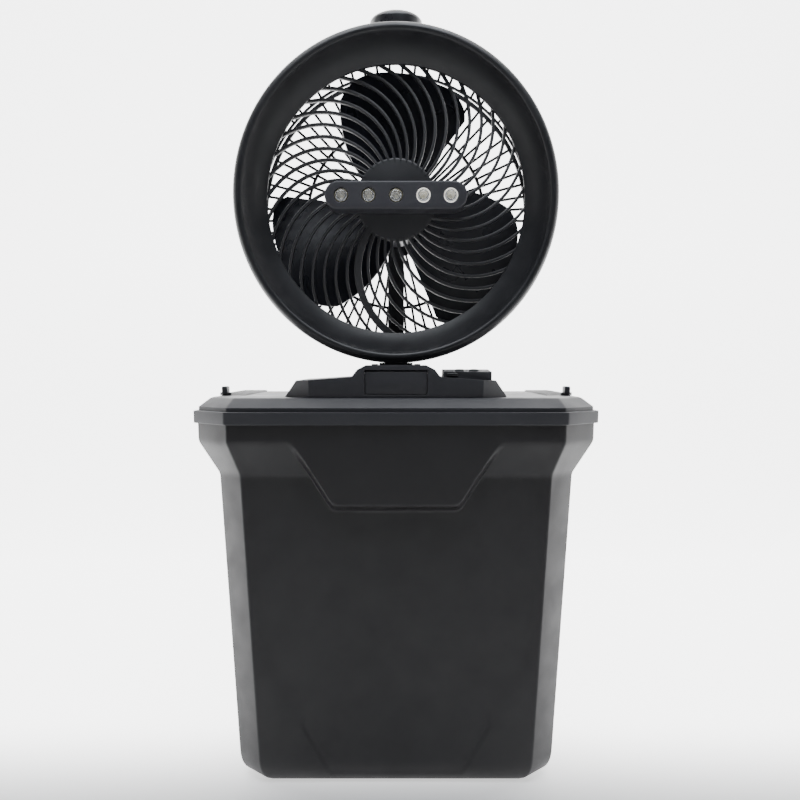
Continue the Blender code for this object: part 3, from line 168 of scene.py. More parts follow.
def plastic(name, dark, light, rough, grain=2600.0, grain_depth=0.00012, coat=0.0, metallic=0.0, edge_wear_and_highlight=None):
    """Moulded plastic: a slow drift of colour, a drift of gloss, a fine spark-eroded grain, and, when asked,
    lighter edges that are part wear and part painted highlight.
    """
    made = bpy.data.materials.new(name)
    made.use_nodes = True
    tree = made.node_tree
    shader = tree.nodes["Principled BSDF"]
    shader.inputs["Metallic"].default_value = metallic
    shader.inputs["Coat Weight"].default_value = coat
    shader.inputs["Coat Roughness"].default_value = 0.15

    drift = surface_noise(tree, 9.0, 4.0)
    tint = add_node(tree, "ShaderNodeValToRGB")
    tint.color_ramp.elements[0].position = 0.32
    tint.color_ramp.elements[0].color = (*dark, 1)
    tint.color_ramp.elements[1].position = 0.70
    tint.color_ramp.elements[1].color = (*light, 1)
    tree.links.new(drift.outputs["Fac"], tint.inputs["Fac"])
    colour = tint.outputs["Color"]
    # Convex edges, found by pointiness, are lightened: partly edge wear, partly a painted edge highlight.
    if edge_wear_and_highlight:
        edge = add_node(tree, "ShaderNodeNewGeometry")
        wear_and_highlight_mask = add_node(tree, "ShaderNodeMapRange")
        wear_and_highlight_mask.inputs["From Min"].default_value = 0.53
        wear_and_highlight_mask.inputs["From Max"].default_value = 0.62
        wear_and_highlight_mask.inputs["To Max"].default_value = 0.65
        tree.links.new(edge.outputs["Pointiness"], wear_and_highlight_mask.inputs["Value"])
        mix = add_node(tree, "ShaderNodeMix", data_type="RGBA")
        tree.links.new(wear_and_highlight_mask.outputs["Result"], mix.inputs["Factor"])
        tree.links.new(colour, mix.inputs["A"])
        mix.inputs["B"].default_value = (*edge_wear_and_highlight, 1)
        colour = mix.outputs["Result"]
    tree.links.new(colour, shader.inputs["Base Color"])

    handling = surface_noise(tree, 38.0, 3.0)
    gloss = add_node(tree, "ShaderNodeMapRange")
    gloss.inputs["From Min"].default_value = 0.3
    gloss.inputs["From Max"].default_value = 0.7
    gloss.inputs["To Min"].default_value = rough - 0.05
    gloss.inputs["To Max"].default_value = rough + 0.07
    tree.links.new(handling.outputs["Fac"], gloss.inputs["Value"])
    tree.links.new(gloss.outputs["Result"], shader.inputs["Roughness"])

    skin = surface_noise(tree, grain, 2.0)
    bump = add_node(tree, "ShaderNodeBump")
    bump.inputs["Strength"].default_value = 0.35
    bump.inputs["Distance"].default_value = grain_depth
    tree.links.new(skin.outputs["Fac"], bump.inputs["Height"])
    tree.links.new(bump.outputs["Normal"], shader.inputs["Normal"])
    return made


def metal(name, dark, light, rough, stretch=(1, 1, 1)):
    """Turned or plated metal, with fine marks drawn out along one direction."""
    made = bpy.data.materials.new(name)
    made.use_nodes = True
    tree = made.node_tree
    shader = tree.nodes["Principled BSDF"]
    shader.inputs["Metallic"].default_value = 1.0
    place = add_node(tree, "ShaderNodeTexCoord")
    squeeze = add_node(tree, "ShaderNodeMapping")
    squeeze.inputs["Scale"].default_value = stretch
    marks = add_node(tree, "ShaderNodeTexNoise")
    marks.inputs["Scale"].default_value = 900.0
    marks.inputs["Detail"].default_value = 3.0
    tree.links.new(place.outputs["Object"], squeeze.inputs["Vector"])
    tree.links.new(squeeze.outputs["Vector"], marks.inputs["Vector"])
    tint = add_node(tree, "ShaderNodeValToRGB")
    tint.color_ramp.elements[0].color = (*dark, 1)
    tint.color_ramp.elements[1].color = (*light, 1)
    tree.links.new(marks.outputs["Fac"], tint.inputs["Fac"])
    tree.links.new(tint.outputs["Color"], shader.inputs["Base Color"])
    gloss = add_node(tree, "ShaderNodeMapRange")
    gloss.inputs["To Min"].default_value = rough - 0.06
    gloss.inputs["To Max"].default_value = rough + 0.08
    tree.links.new(marks.outputs["Fac"], gloss.inputs["Value"])
    tree.links.new(gloss.outputs["Result"], shader.inputs["Roughness"])
    bump = add_node(tree, "ShaderNodeBump")
    bump.inputs["Strength"].default_value = 0.15
    bump.inputs["Distance"].default_value = 0.00005
    tree.links.new(marks.outputs["Fac"], bump.inputs["Height"])
    tree.links.new(bump.outputs["Normal"], shader.inputs["Normal"])
    return made


def glowing(made, colour, strength):
    shader = made.node_tree.nodes["Principled BSDF"]
    shader.inputs["Emission Color"].default_value = (*colour, 1)
    shader.inputs["Emission Strength"].default_value = strength
    return made


def clear_lens(name):
    made = plastic(name, (0.80, 0.81, 0.82), (0.90, 0.91, 0.92), 0.09, grain=700.0, grain_depth=0.00002)
    shader = made.node_tree.nodes["Principled BSDF"]
    shader.inputs["Transmission Weight"].default_value = 0.85
    shader.inputs["IOR"].default_value = 1.49
    return made


# The last colour given to a plastic lightens its edges: part wear, part painted highlight.
tank_black = plastic("tank_black", (0.0098, 0.0088, 0.0102), (0.0125, 0.0114, 0.0130), 0.50,
                     edge_wear_and_highlight=(0.020, 0.019, 0.021))
lid_charcoal = plastic("lid_charcoal", (0.021, 0.021, 0.025), (0.026, 0.026, 0.031), 0.50,
                       edge_wear_and_highlight=(0.045, 0.045, 0.05))
head_black = plastic("head_black", (0.0115, 0.0118, 0.0138), (0.015, 0.0154, 0.018), 0.40,
                     edge_wear_and_highlight=(0.03, 0.031, 0.035))
rib_black = plastic("rib_black", (0.020, 0.0205, 0.023), (0.027, 0.0275, 0.031), 0.45,
                    edge_wear_and_highlight=(0.05, 0.051, 0.055))
bar_grey = plastic("bar_grey", (0.030, 0.030, 0.036), (0.038, 0.038, 0.045), 0.46, edge_wear_and_highlight=(0.07, 0.07, 0.08))
blade_navy = plastic("blade_navy", (0.010, 0.0115, 0.0185), (0.014, 0.016, 0.026), 0.30, grain=1500.0,
                     grain_depth=0.00006)
rail_grey = plastic("rail_grey", (0.050, 0.049, 0.050), (0.075, 0.073, 0.073), 0.62, grain=1400.0,
                    grain_depth=0.0003)
dial_black = plastic("dial_black", (0.016, 0.0162, 0.019), (0.021, 0.0212, 0.024), 0.30,
                     edge_wear_and_highlight=(0.05, 0.05, 0.055))
button_grey = plastic("button_grey", (0.02, 0.02, 0.022), (0.03, 0.03, 0.032), 0.55, edge_wear_and_highlight=(0.09, 0.09, 0.09))
rubber = plastic("rubber", (0.008, 0.008, 0.008), (0.014, 0.014, 0.014), 0.75, grain=1800.0,
                 grain_depth=0.0003)
nylon = plastic("nylon", (0.52, 0.50, 0.44), (0.62, 0.60, 0.54), 0.45)
board_green = plastic("board_green", (0.012, 0.07, 0.03), (0.02, 0.11, 0.05), 0.30, grain=500.0, coat=0.4)
cell_wrap = plastic("cell_wrap", (0.015, 0.04, 0.10), (0.025, 0.06, 0.15), 0.25, grain=350.0,
                    grain_depth=0.0003, coat=0.5)
window_smoke = plastic("window_smoke", (0.012, 0.012, 0.013), (0.02, 0.02, 0.022), 0.10, grain=600.0,
                       coat=0.8)
windings = plastic("windings", (0.32, 0.13, 0.05), (0.45, 0.20, 0.09), 0.35, grain=1400.0,
                   grain_depth=0.0006, metallic=0.9)
steel = metal("steel", (0.42, 0.42, 0.43), (0.62, 0.62, 0.64), 0.28)
zinc = metal("zinc", (0.30, 0.31, 0.32), (0.45, 0.46, 0.47), 0.42)
ground_steel = metal("ground_steel", (0.16, 0.16, 0.17), (0.28, 0.28, 0.29), 0.35, (1, 8, 1))
reflector = metal("reflector", (0.72, 0.71, 0.68), (0.92, 0.91, 0.88), 0.14)
# The reflectors of the two right-hand LEDs glow faintly: a painted reflection of the studio light, not a lit
# lamp.
painted_glint_reflector = glowing(metal("painted_glint_reflector", (0.85, 0.85, 0.84), (0.98, 0.98, 0.97), 0.14),
                           (1, 0.99, 0.96), 0.35)
lens_clear = clear_lens("lens_clear")
led_die = glowing(plastic("led_die", (0.62, 0.55, 0.32), (0.75, 0.68, 0.42), 0.4), (1, 0.95, 0.8), 0.15)


# ---- mesh helpers ----

def fillet(corners, steps=5, closed=True):
    """Points of a 2D outline whose corners (x, y, radius) are rounded."""
    points = []
    last = len(corners) - 1
    for index, (x, y, radius) in enumerate(corners):
        here = Vector((x, y))
        if radius == 0 or (not closed and index in (0, last)):
            points.append(here)
            continue
        before = Vector(corners[index - 1][:2]) - here
        after = Vector(corners[(index + 1) % len(corners)][:2]) - here
        reach = radius / math.tan(before.angle(after) / 2)
        reach = min(reach, 0.49 * before.length, 0.49 * after.length)
        first = here + before.normalized() * reach
        final = here + after.normalized() * reach
        for step in range(steps + 1):
            t = step / steps
            points.append(first * (1 - t) ** 2 + here * 2 * t * (1 - t) + final * t ** 2)
    return points


def skin(bm, rows, wrap=False, loop=True):
    """Faces between rows of vertices; loop closes each row, wrap joins the last row to the first."""
    pairs = list(zip(rows, rows[1:])) + ([(rows[-1], rows[0])] if wrap else [])
    for lower, upper in pairs:
        count = max(len(lower), len(upper))
        for index in range(count if loop else count - 1):
            after = (index + 1) % count
            corners = []
            for row, where in ((lower, index), (lower, after), (upper, after), (upper, index)):
                vert = row[where if len(row) > 1 else 0]
                if vert not in corners:
                    corners.append(vert)
            if len(corners) > 2:
                bm.faces.new(corners)


def lathe(bm, profile, sides, place=HERE, closed=True):
    """Turns (radius, height) points about Z. A radius of 0 becomes one vertex."""
    rows = []
    for radius, height in profile:
        if radius < 1e-7:
            rows.append([bm.verts.new(place @ Vector((0, 0, height)))])
            continue
        ring = []
        for index in range(sides):
            angle = math.tau * index / sides
            point = Vector((radius * math.cos(angle), radius * math.sin(angle), height))
            ring.append(bm.verts.new(place @ point))
        rows.append(ring)
    skin(bm, rows, wrap=closed)


def loft(bm, rings, place=HERE, wrap=False, cap=True):
    rows = [[bm.verts.new(place @ Vector(point)) for point in ring] for ring in rings]
    skin(bm, rows, wrap=wrap)
    if cap and not wrap:
        bm.faces.new(rows[0])
        bm.faces.new(rows[-1])
    return rows


def sweep(bm, path, ups, section, place=HERE, cap=True):
    """Carries a section of (across, up) points along a path, with its up direction at each point."""
    rows = []
    for index, point in enumerate(path):
        ahead = path[min(index + 1, len(path) - 1)] - path[max(index - 1, 0)]
        up = ups[index]
        across = ahead.cross(up).normalized()
        true_up = across.cross(ahead).normalized()
        rows.append([bm.verts.new(place @ (point + across * a + true_up * b)) for a, b in section])
    skin(bm, rows)
    if cap:
        bm.faces.new(rows[0])
        bm.faces.new(rows[-1])


def bar_section(width, depth, radius):
    """A rounded bar, its front face at 0 and its back at -depth."""
    half = width / 2
    corners = [(-half, 0, radius), (half, 0, radius), (half, -depth, radius / 2), (-half, -depth, radius / 2)]
    return fillet(corners, 2)


def octagon(half_x, half_y, cut, radius, steps=4):
    corners = []
    for sign_x, sign_y in ((1, 1), (-1, 1), (-1, -1), (1, -1)):
        pair = [(sign_x * half_x, sign_y * (half_y - cut), radius),
                (sign_x * (half_x - cut), sign_y * half_y, radius)]
        corners += pair if sign_x * sign_y > 0 else pair[::-1]
    return fillet(corners, steps)


def finish_piece(name, bm, body, look, stands_for=(), angle=38, extra_looks=()):
    bmesh.ops.remove_doubles(bm, verts=bm.verts, dist=1e-6)
    bmesh.ops.recalc_face_normals(bm, faces=bm.faces)
    mesh = bpy.data.meshes.new(name)
    bm.to_mesh(mesh)
    bm.free()
    mesh.shade_smooth()
    mesh.set_sharp_from_angle(angle=math.radians(angle))
    for material in (look, *extra_looks):
        mesh.materials.append(material)
    piece = bpy.data.objects.new(name, mesh)
    bpy.context.scene.collection.objects.link(piece)
    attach(piece, body)
    if stands_for:
        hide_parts(*stands_for)
    return piece


def apply_modifiers(piece):
    graph = bpy.context.evaluated_depsgraph_get()
    mesh = bpy.data.meshes.new_from_object(piece.evaluated_get(graph))
    piece.modifiers.clear()
    piece.data = mesh
    return piece


def soften(node, body, look, width, segments=3, angle=30):
    """A CAD node's own shape again, its flats made whole and its edges rounded."""
    bm = bmesh.new()
    bm.from_mesh(frame["nodes"][node].data)
    bmesh.ops.remove_doubles(bm, verts=bm.verts, dist=2e-6)
    bmesh.ops.dissolve_limit(bm, angle_limit=math.radians(1.0), verts=bm.verts, edges=bm.edges)
    piece = finish_piece(f"{node}_moulding", bm, body, look, [node], angle)
    bevel = piece.modifiers.new("edges", "BEVEL")
    bevel.width = width
    bevel.segments = segments
    bevel.limit_method = "ANGLE"
    bevel.angle_limit = math.radians(angle)
    bevel.harden_normals = False
    apply_modifiers(piece)
    piece.data.shade_smooth()
    piece.data.set_sharp_from_angle(angle=math.radians(50))
    return piece


def panel_mask(outline, x, z, soft):
    """1 inside a convex outline of (x, z) points, 0 outside, with a soft edge."""
    worst = -1.0
    for index, (ax, az) in enumerate(outline[:-1]):
        bx, bz = outline[index + 1]
        length = math.hypot(bx - ax, bz - az)
        outside = ((az - z) * (bx - ax) + (x - ax) * (bz - az)) / length
        level = 1 + 0.9 * abs(bx - ax) / length
        worst = max(worst, outside / (soft * level))
    share = min(1.0, max(0.0, 0.5 - worst))
    return share * share * (3 - 2 * share)


def spaced(low, high, step):
    """Even stops from low up to, but not at, high."""
    count = max(1, round((high - low) / step))
    return [low + (high - low) * index / count for index in range(count)]


def carve(piece, cutter, angle=35):
    """Cuts closed shapes out of a piece, and drops them."""
    bmesh.ops.recalc_face_normals(cutter, faces=cutter.faces)
    mesh = bpy.data.meshes.new("cutter")
    cutter.to_mesh(mesh)
    cutter.free()
    tool = bpy.data.objects.new("cutter", mesh)
    bpy.context.scene.collection.objects.link(tool)
    boolean = piece.modifiers.new("cut", "BOOLEAN")
    boolean.operation = "DIFFERENCE"
    boolean.solver = "EXACT"
    boolean.object = tool
    apply_modifiers(piece)
    bpy.data.objects.remove(tool)
    bpy.data.meshes.remove(mesh)
    piece.data.shade_smooth()
    piece.data.set_sharp_from_angle(angle=math.radians(angle))
    return piece


def block(bm, low, high, place=HERE):
    low, high = Vector(low), Vector(high)
    matrix = place @ Matrix.LocRotScale((low + high) / 2, None, high - low)
    bmesh.ops.create_cube(bm, size=1, matrix=matrix)


def curve_through(start, control, end, steps):
    """Points of a quadratic arc."""
    start, control, end = Vector(start), Vector(control), Vector(end)
    stops = [step / steps for step in range(steps + 1)]
    return [start * (1 - t) ** 2 + control * 2 * t * (1 - t) + end * t ** 2 for t in stops]


# ---- the tank ----

CORNER_RATIO = 2 - math.sqrt(2)
CREASE = 0.0024
FRONT_STOPS = [(0.000, 0.066), (0.011, 0.066), (0.059, 0.091), (0.283, 0.059), (0.348, 0.099), (0.400, 0.099)]
BIB_SOFT = 0.0046
RELIEF_SOFT = 0.0040
BIB_ROUND = fillet([(x, z, 0.009 if z < 0.3 else 0) for x, z in BIB], 5, closed=False)


def tank_inset(height):
    """How far the outer wall lies inside the collar."""
    collar_foot = TANK_HIGH.z - COLLAR
    body_top = collar_foot - SHOULDER
    if height >= collar_foot:
        return 0.0
    if height >= body_top:
        return SHOULDER_IN * (collar_foot - height) / SHOULDER
    inset = SHOULDER_IN + DRAFT * (body_top - height) / body_top
    if height < FOOT_UP:
        share = 1 - max(height, 0.0) / FOOT_UP
        inset += FOOT_IN * (1 - math.sqrt(max(0.0, 1 - share ** FOOT_SHARPNESS)))
    return inset


def soft_inset(height):
    """The same wall with its creases rounded off."""
    spread = min(CREASE, height)
    return sum(tank_inset(height + spread * step / 2) for step in (-2, -1, 0, 1, 2)) / 5


def crease_half(height):
    """Half the width between the two creases of the front face."""
    for (low, first), (high, second) in zip(FRONT_STOPS, FRONT_STOPS[1:]):
        if height <= high:
            return first + (second - first) * (height - low) / (high - low)
    return FRONT_STOPS[-1][1]


def tank_ring(height, wall=0.0, level=None):
    inset = soft_inset(height)
    blend = min(1.0, inset / SHOULDER_IN)
    cut = COLLAR_CUT + (BODY_CUT - COLLAR_CUT) * blend - wall * CORNER_RATIO
    outline = octagon(TANK_HIGH.x - inset - wall, TANK_HIGH.y - inset - wall, cut, EDGE)
    z = height if level is None else level
    per_corner = len(outline) // 8
    left, right = outline[6 * per_corner - 1], outline[6 * per_corner]
    crease = crease_half(height)
    stops = [left.x, -crease - BIB_SOFT, -crease + BIB_SOFT, crease - BIB_SOFT, crease + BIB_SOFT, right.x]
    columns = []
    for start, end, count in zip(stops, stops[1:], (10, 9, 36, 9, 10)):
        columns += [start + (end - start) * step / count for step in range(count)]
    face = []
    for x in columns[1:]:
        proud = inset * panel_mask(BIB_ROUND, x, height, BIB_SOFT)
        sunk = RELIEF_DEPTH * panel_mask(RELIEF, x, height, RELIEF_SOFT)
        face.append((x, left.y - proud + sunk, z))
    ring = [(point.x, point.y, z) for point in outline]
    return ring[:6 * per_corner] + face + ring[6 * per_corner:]


def make_tank():
    rim = TANK_HIGH.z
    heights = spaced(0, 0.008, 0.0012) + spaced(0.008, 0.062, 0.0018) + spaced(0.062, 0.272, 0.012)
    heights += spaced(0.272, 0.353, 0.0015) + spaced(0.353, rim - 0.0008, 0.004)
    rings = [tank_ring(height) for height in heights]
    rings += [tank_ring(rim, wall, level) for wall, level in
              ((0, rim - 0.0008), (0.0003, rim - 0.0002), (0.0009, rim), (WALL - 0.0009, rim),
               (WALL - 0.0003, rim - 0.0002), (WALL, rim - 0.0008))]
    rings += [tank_ring(height, WALL) for height in heights[::-1] if height > 2 * WALL]
    rings.append(tank_ring(WALL, WALL * 2, WALL))
    bm = bmesh.new()
    loft(bm, rings)
    finish_piece("tank_moulding", bm, "tank", tank_black, ["tank_shell"], angle=52)


# ---- the lid ----

LIP = 0.0045
STEP = 0.0036
SKIRT_UP = LID_HIGH.z - 0.0124
LID_CUT = COLLAR_CUT + 0.0035 * CORNER_RATIO
LOCK_HOLE = 0.0045
RAIL = dict(inner=0.147, outer=0.1725, front=-0.050, back=0.100, height=0.0017)
RAIL_RIBS = 11
RAIL_SINK = 0.0004
RAIL_SLANT = 0.014


def lid_ring(inset, height):
    plan = octagon(LID_HIGH.x - inset, LID_HIGH.y - inset, LID_CUT - inset * CORNER_RATIO, EDGE)
    return [(point.x, point.y, height) for point in plan]


def make_lid():
    low, top = LID_LOW.z, LID_HIGH.z
    profile = [(0.0175, top - WALL), (WALL, SKIRT_UP - 0.002), (WALL, low), (0.0006, low), (0, low + 0.0006),
               (0, SKIRT_UP - 0.0008), (0.0002, SKIRT_UP - 0.0002), (0.0008, SKIRT_UP), (LIP, SKIRT_UP),
               (LIP + 0.0002, SKIRT_UP + 0.0001), (LIP + 0.0003, SKIRT_UP + STEP),
               (LIP + 0.0006, SKIRT_UP + STEP + 0.0003)]
    foot = Vector((LIP + 0.0006, SKIRT_UP + STEP + 0.0003))
    crest = Vector((0.0163, top))
    run = (crest - foot).normalized()
    soft = curve_through(crest - run * 0.0024, crest, crest + Vector((0.0024, 0)), 5)
    profile += [tuple(point) for point in soft]
    bm = bmesh.new()
    loft(bm, [lid_ring(inset, height) for inset, height in profile])
    lid = finish_piece("lid_moulding", bm, "lid", lid_charcoal, ["lid"], angle=40)
    cutter = bmesh.new()
    tray_low, tray_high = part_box("battery_tray")
    reach_x, reach_y = tray_high.x - 0.006 + FIT, tray_high.y - 0.006 + FIT
    block(cutter, (-reach_x, -reach_y, top - 0.02), (reach_x, reach_y, top + 0.02))
    for side in ("left", "right"):
        place = Matrix.Translation(Vector(joint(f"lid_lock_{side}_turn")["pos_m"]))
        lathe(cutter, [(0, -0.02), (LOCK_HOLE, -0.02), (LOCK_HOLE, 0.02), (0, 0.02)], 40, place, closed=False)
    carve(lid, cutter)


def make_rail(side):
    """A low ribbed rail along one side of the lid's top, for a grip or a strap."""
    top = LID_HIGH.z
    across = RAIL["outer"] - RAIL["inner"]
    pitch = across / RAIL_RIBS
    section = [(0.0, -RAIL_SINK)]
    for index in range(RAIL_RIBS):
        for share, height in ((0.18, 0.62), (0.32, 1.0), (0.68, 1.0), (0.82, 0.62)):
            section.append((pitch * (index + share), RAIL["height"] * height))
    section.append((across, -RAIL_SINK))
    bm = bmesh.new()
    rings = []
    stations = ((RAIL["front"], 0.0), (RAIL["front"] + 0.010, 1.0), (RAIL["back"] - 0.006, 1.0),
                (RAIL["back"], 0.0))
    for y, share in stations:
        slant = RAIL_SLANT if y < 0 else 0
        rings.append([(side * (RAIL["inner"] + a), y + slant * a / across,
                       top + max(h, -RAIL_SINK) * (share if h > 0 else 1)) for a, h in section])
    loft(bm, rings)
    word = "right" if side > 0 else "left"
    finish_piece(f"lid_rail_{word}", bm, "lid", rail_grey, angle=25)


# ---- the pedestal and what it holds ----

def make_pedestal():
    soften("pedestal_cover", "lid", lid_charcoal, 0.0011, 3, 20)
    soften("port_cover", "port_door", lid_charcoal, 0.0006, 2)
    soften("control_module", "lid", lid_charcoal, 0.0009, 3)
    soften("battery_tray", "lid", lid_charcoal, 0.0008, 2)
    soften("swivel_neck", "neck", lid_charcoal, 0.0007, 2)
    for side in ("left", "right"):
        soften(f"lid_lock_{side}", f"lock_{side}", lid_charcoal, 0.0004, 2)
    soften("indicator_window", "lid", window_smoke, 0.0004, 2)
    slant = Matrix.Rotation(math.atan2(0.0022, 0.034), 4, "X")
    for word, key in (("power", "power_key"), ("light", "light_key")):
        low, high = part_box(f"{word}_button")
        middle = (low + high) / 2
        radius = (high.x - low.x) / 2
        half = 0.0030
        bm = bmesh.new()
        profile = [(0, -half), (radius, -half), (radius, half - 0.0009), (radius - 0.0003, half - 0.0003),
                   (radius - 0.0009, half), (radius * 0.72, half), (radius * 0.62, half - 0.0004),
                   (0, half - 0.0006)]
        lathe(bm, profile, 48, Matrix.Translation(middle) @ slant, closed=False)
        finish_piece(f"{word}_button_cap", bm, key, button_grey, [f"{word}_button"], angle=32)


# ---- the head ----

def cove_points(steps):
    run = math.hypot(RIM - OPENING, DISH_DEPTH)
    points = []
    for step in range(steps + 1):
        share = step / steps
        sag = 4 * DISH_SAG * share * (1 - share)
        radius = RIM + (OPENING - RIM) * share
        depth = HEAD_FRONT - DISH_DEPTH * share
        points.append(Vector((radius + sag * DISH_DEPTH / run, depth - sag * (RIM - OPENING) / run)))
    return points


def make_bezel():
    widest = HEAD_FRONT - ROLL
    back = HEAD_FRONT - DISH_DEPTH
    cove = cove_points(22)
    lip = curve_through(cove[-1], (OPENING - 0.0004, back - 0.0012), (OPENING, back - THIN), 4)[1:]
    behind = [point + Vector((THIN, -THIN)) * 0.8 for point in cove[-3:1:-3]]
    roll = curve_through((HEAD_RADIUS, widest), (HEAD_RADIUS + 0.0002, HEAD_FRONT - 0.0012),
                         (RIM + 0.0032, HEAD_FRONT), 10)
    roll[0].x = HEAD_RADIUS
    roll = [Vector((min(point.x, HEAD_RADIUS), point.y)) for point in roll]
    nose = curve_through(roll[-1], (RIM + 0.0004, HEAD_FRONT), cove[1], 6)[1:-1]
    band = [Vector((HEAD_RADIUS - THIN, widest)), Vector((HEAD_RADIUS - THIN, SEAM + FIT)),
            Vector((HEAD_RADIUS - 0.0004, SEAM + FIT)), Vector((HEAD_RADIUS, SEAM + FIT + 0.0004))]
    profile = roll + nose + cove[1:] + lip + [Vector((OPENING + THIN, back - THIN))] + behind + band
    bm = bmesh.new()
    lathe(bm, profile, 192, HEAD)
    finish_piece("bezel_dish", bm, "head", head_black, ["bezel"], angle=40)


def make_drum():
    """The drum's wall, and past its end the thin ribs that turn the rear corner to a ring."""
    inner = DRUM_RADIUS - THIN
    rear = DRUM_RADIUS - REAR_ROUND
    centre = REAR_FACE + REAR_ROUND
    end = REAR_FACE + CORNER_REACH
    wall = [(DRUM_RADIUS - 0.0004, SEAM), (DRUM_RADIUS, SEAM - 0.0004), (DRUM_RADIUS, end + 0.0005),
            (DRUM_RADIUS - 0.0005, end), (inner + 0.0005, end), (inner, end + 0.0005), (inner, SEAM)]
    bm = bmesh.new()
    lathe(bm, wall, 192, HEAD)
    ring_low, ring_high = rear + 0.0008, rear + CORNER_RING
    ring = [(ring_low, REAR_FACE), (ring_high - 0.0005, REAR_FACE), (ring_high, REAR_FACE + 0.0005),
            (ring_high, REAR_FACE + THIN), (ring_low, REAR_FACE + THIN)]
    lathe(bm, ring, 192, HEAD)
    section = bar_section(SPOKE_WIDTH, THIN, 0.0006)
    turns = [CORNER_TURN * step / 8 for step in range(9)]
    for index in range(CORNER_RIBS):
        angle = math.tau * index / CORNER_RIBS - math.pi / 2
        arm = Vector((math.cos(angle), math.sin(angle), 0))
        path = [arm * DRUM_RADIUS + Vector((0, 0, end + 0.0012))]
        ups = [arm]
        for turn in turns:
            out = arm * math.cos(turn) - Vector((0, 0, math.sin(turn)))
            path.append(arm * rear + Vector((0, 0, centre)) + out * REAR_ROUND)
            ups.append(out)
        sweep(bm, path, ups, section, HEAD)
    finish_piece("drum_skin", bm, "head", head_black, ["drum_shell"], angle=40)


def make_dial_boss():
    """The boss under the speed dial, flared into the drum."""
    seat_top = DIAL_LOW.z - FIT
    foot = FAN_Z + DRUM_RADIUS - THIN + BOSS_EDGE
    skin_height = FAN_Z + DRUM_RADIUS
    radius = DIAL_HIGH.x - BOSS_INSET
    flare = curve_through((radius + BOSS_FLARE, skin_height - 0.0012),
                          (radius + BOSS_EDGE, skin_height + 0.0002), (radius, skin_height + 0.0052), 6)
    profile = [(BOSS_BORE, foot), (radius + 0.0052, foot)] + [tuple(point) for point in flare]
    profile += [(radius, seat_top - BOSS_EDGE), (radius - BOSS_EDGE, seat_top), (BOSS_BORE, seat_top)]
    bm = bmesh.new()
    lathe(bm, profile, 96)
    finish_piece("dial_boss", bm, "head", head_black, angle=40)


def make_tilt_lug():
    """The lug that the tilt pin goes through."""
    bm = bmesh.new()
    pivot = Vector(joint("head_tilt")["pos_m"])
    outline = [Vector((LUG_ROUND * math.cos(a), LUG_ROUND * math.sin(a)))
               for a in [math.pi + math.pi * step / 24 for step in range(25)]]
    outline += [Vector((LUG_ROUND, LUG_UP)), Vector((-LUG_ROUND, LUG_UP))]
    loft(bm, [[(side * LUG_HALF, pivot.y + p.x, pivot.z + p.y) for p in outline] for side in (-1, 1)])
    lug = finish_piece("tilt_lug", bm, "head", head_black, angle=30)
    cutter = bmesh.new()
    across = Matrix.Translation(pivot) @ Matrix.Rotation(math.pi / 2, 4, "Y")
    reach = LUG_HALF + WALL
    lathe(cutter, [(0, -reach), (LUG_BORE, -reach), (LUG_BORE, reach), (0, reach)], 32, across, closed=False)
    carve(lug, cutter)


def make_dial():
    base, top = DIAL_LOW.z, DIAL_HIGH.z
    radius = DIAL_HIGH.x
    height = top - base
    turns = [math.pi / 2 * step / 16 for step in range(17)]
    crown = [Vector((0, 0)), Vector((radius * 0.22, 0))]
    edge = [Vector((radius - DIAL_DOME * (1 - math.sin(a)), -DIAL_SHOULDER * (1 - math.cos(a))))
            for a in turns]
    skirt = [Vector((radius, 0.0008 - height)), Vector((radius - 0.0005, 0.0002 - height)),
             Vector((radius - 0.0011, -height))]
    under = [Vector((radius - 0.0022, -height)), Vector((radius - 0.0022, -0.0095)),
             Vector((radius - 0.008, -0.0050)), Vector((0.0065, -0.0050)),
             Vector((0.0065, 0.0020 - height)), Vector((0.0033, 0.0020 - height)),
             Vector((0.0033, -0.0042)), Vector((0, -0.0042))]
    bm = bmesh.new()
    lathe(bm, crown + edge + skirt + under, 128, Matrix.Translation((0, 0, top)), closed=False)
    finish_piece("speed_dial_cap", bm, "dial", dial_black, ["speed_dial"], angle=38)


def rib_path(start, steps, low, high):
    points = []
    for step in range(steps + 1):
        radius = low + (high - low) * step / steps
        share = (radius - HUB) / (OPENING - HUB)
        angle = start + SPIRAL[0] * share + SPIRAL[1] * share * share
        height = GRILLE_BASE + dome(radius)
        points.append(Vector((radius * math.cos(angle), radius * math.sin(angle), height)))
    return points


def dome(radius):
    share = min(1.0, max(0.0, (OPENING - radius) / (OPENING - HUB)))
    return RISE * (1 - (1 - share) ** 2)


def make_front_grille():
    bm = bmesh.new()
    slim, wide = bar_section(RIB_WIDTH, 0.0048, 0.0011), bar_section(WIDE_RIB, 0.0052, 0.0013)
    for index in range(RIBS):
        start = WIDE_START + math.tau * index / RIBS
        path = rib_path(start, 26, HUB - 0.004, OPENING + 0.003)
        ups = [Vector((0, 0, 1))] * len(path)
        sweep(bm, path, ups, wide if index == 0 else slim, HEAD)
    edge = OPENING + 0.006
    ring = [(OPENING + 0.0006, GRILLE_BASE), (edge - 0.0006, GRILLE_BASE), (edge, GRILLE_BASE - 0.0006),
            (edge, GRILLE_BASE - 0.003), (OPENING + 0.0006, GRILLE_BASE - 0.003)]
    lathe(bm, ring, 192, HEAD)
    front = GRILLE_BASE + RISE
    disc = [(0, front), (HUB - 0.0020, front), (HUB - 0.0008, front - 0.0003), (HUB - 0.0001, front - 0.0010),
            (HUB, front - 0.0020), (HUB, front - 0.0052), (HUB - 0.0025, front - 0.0052),
            (HUB - 0.0025, front - 0.0028), (0, front - 0.0028)]
    lathe(bm, disc, 128, HEAD, closed=False)
    finish_piece("front_guard", bm, "head", rib_black, ["front_grille"], angle=45)


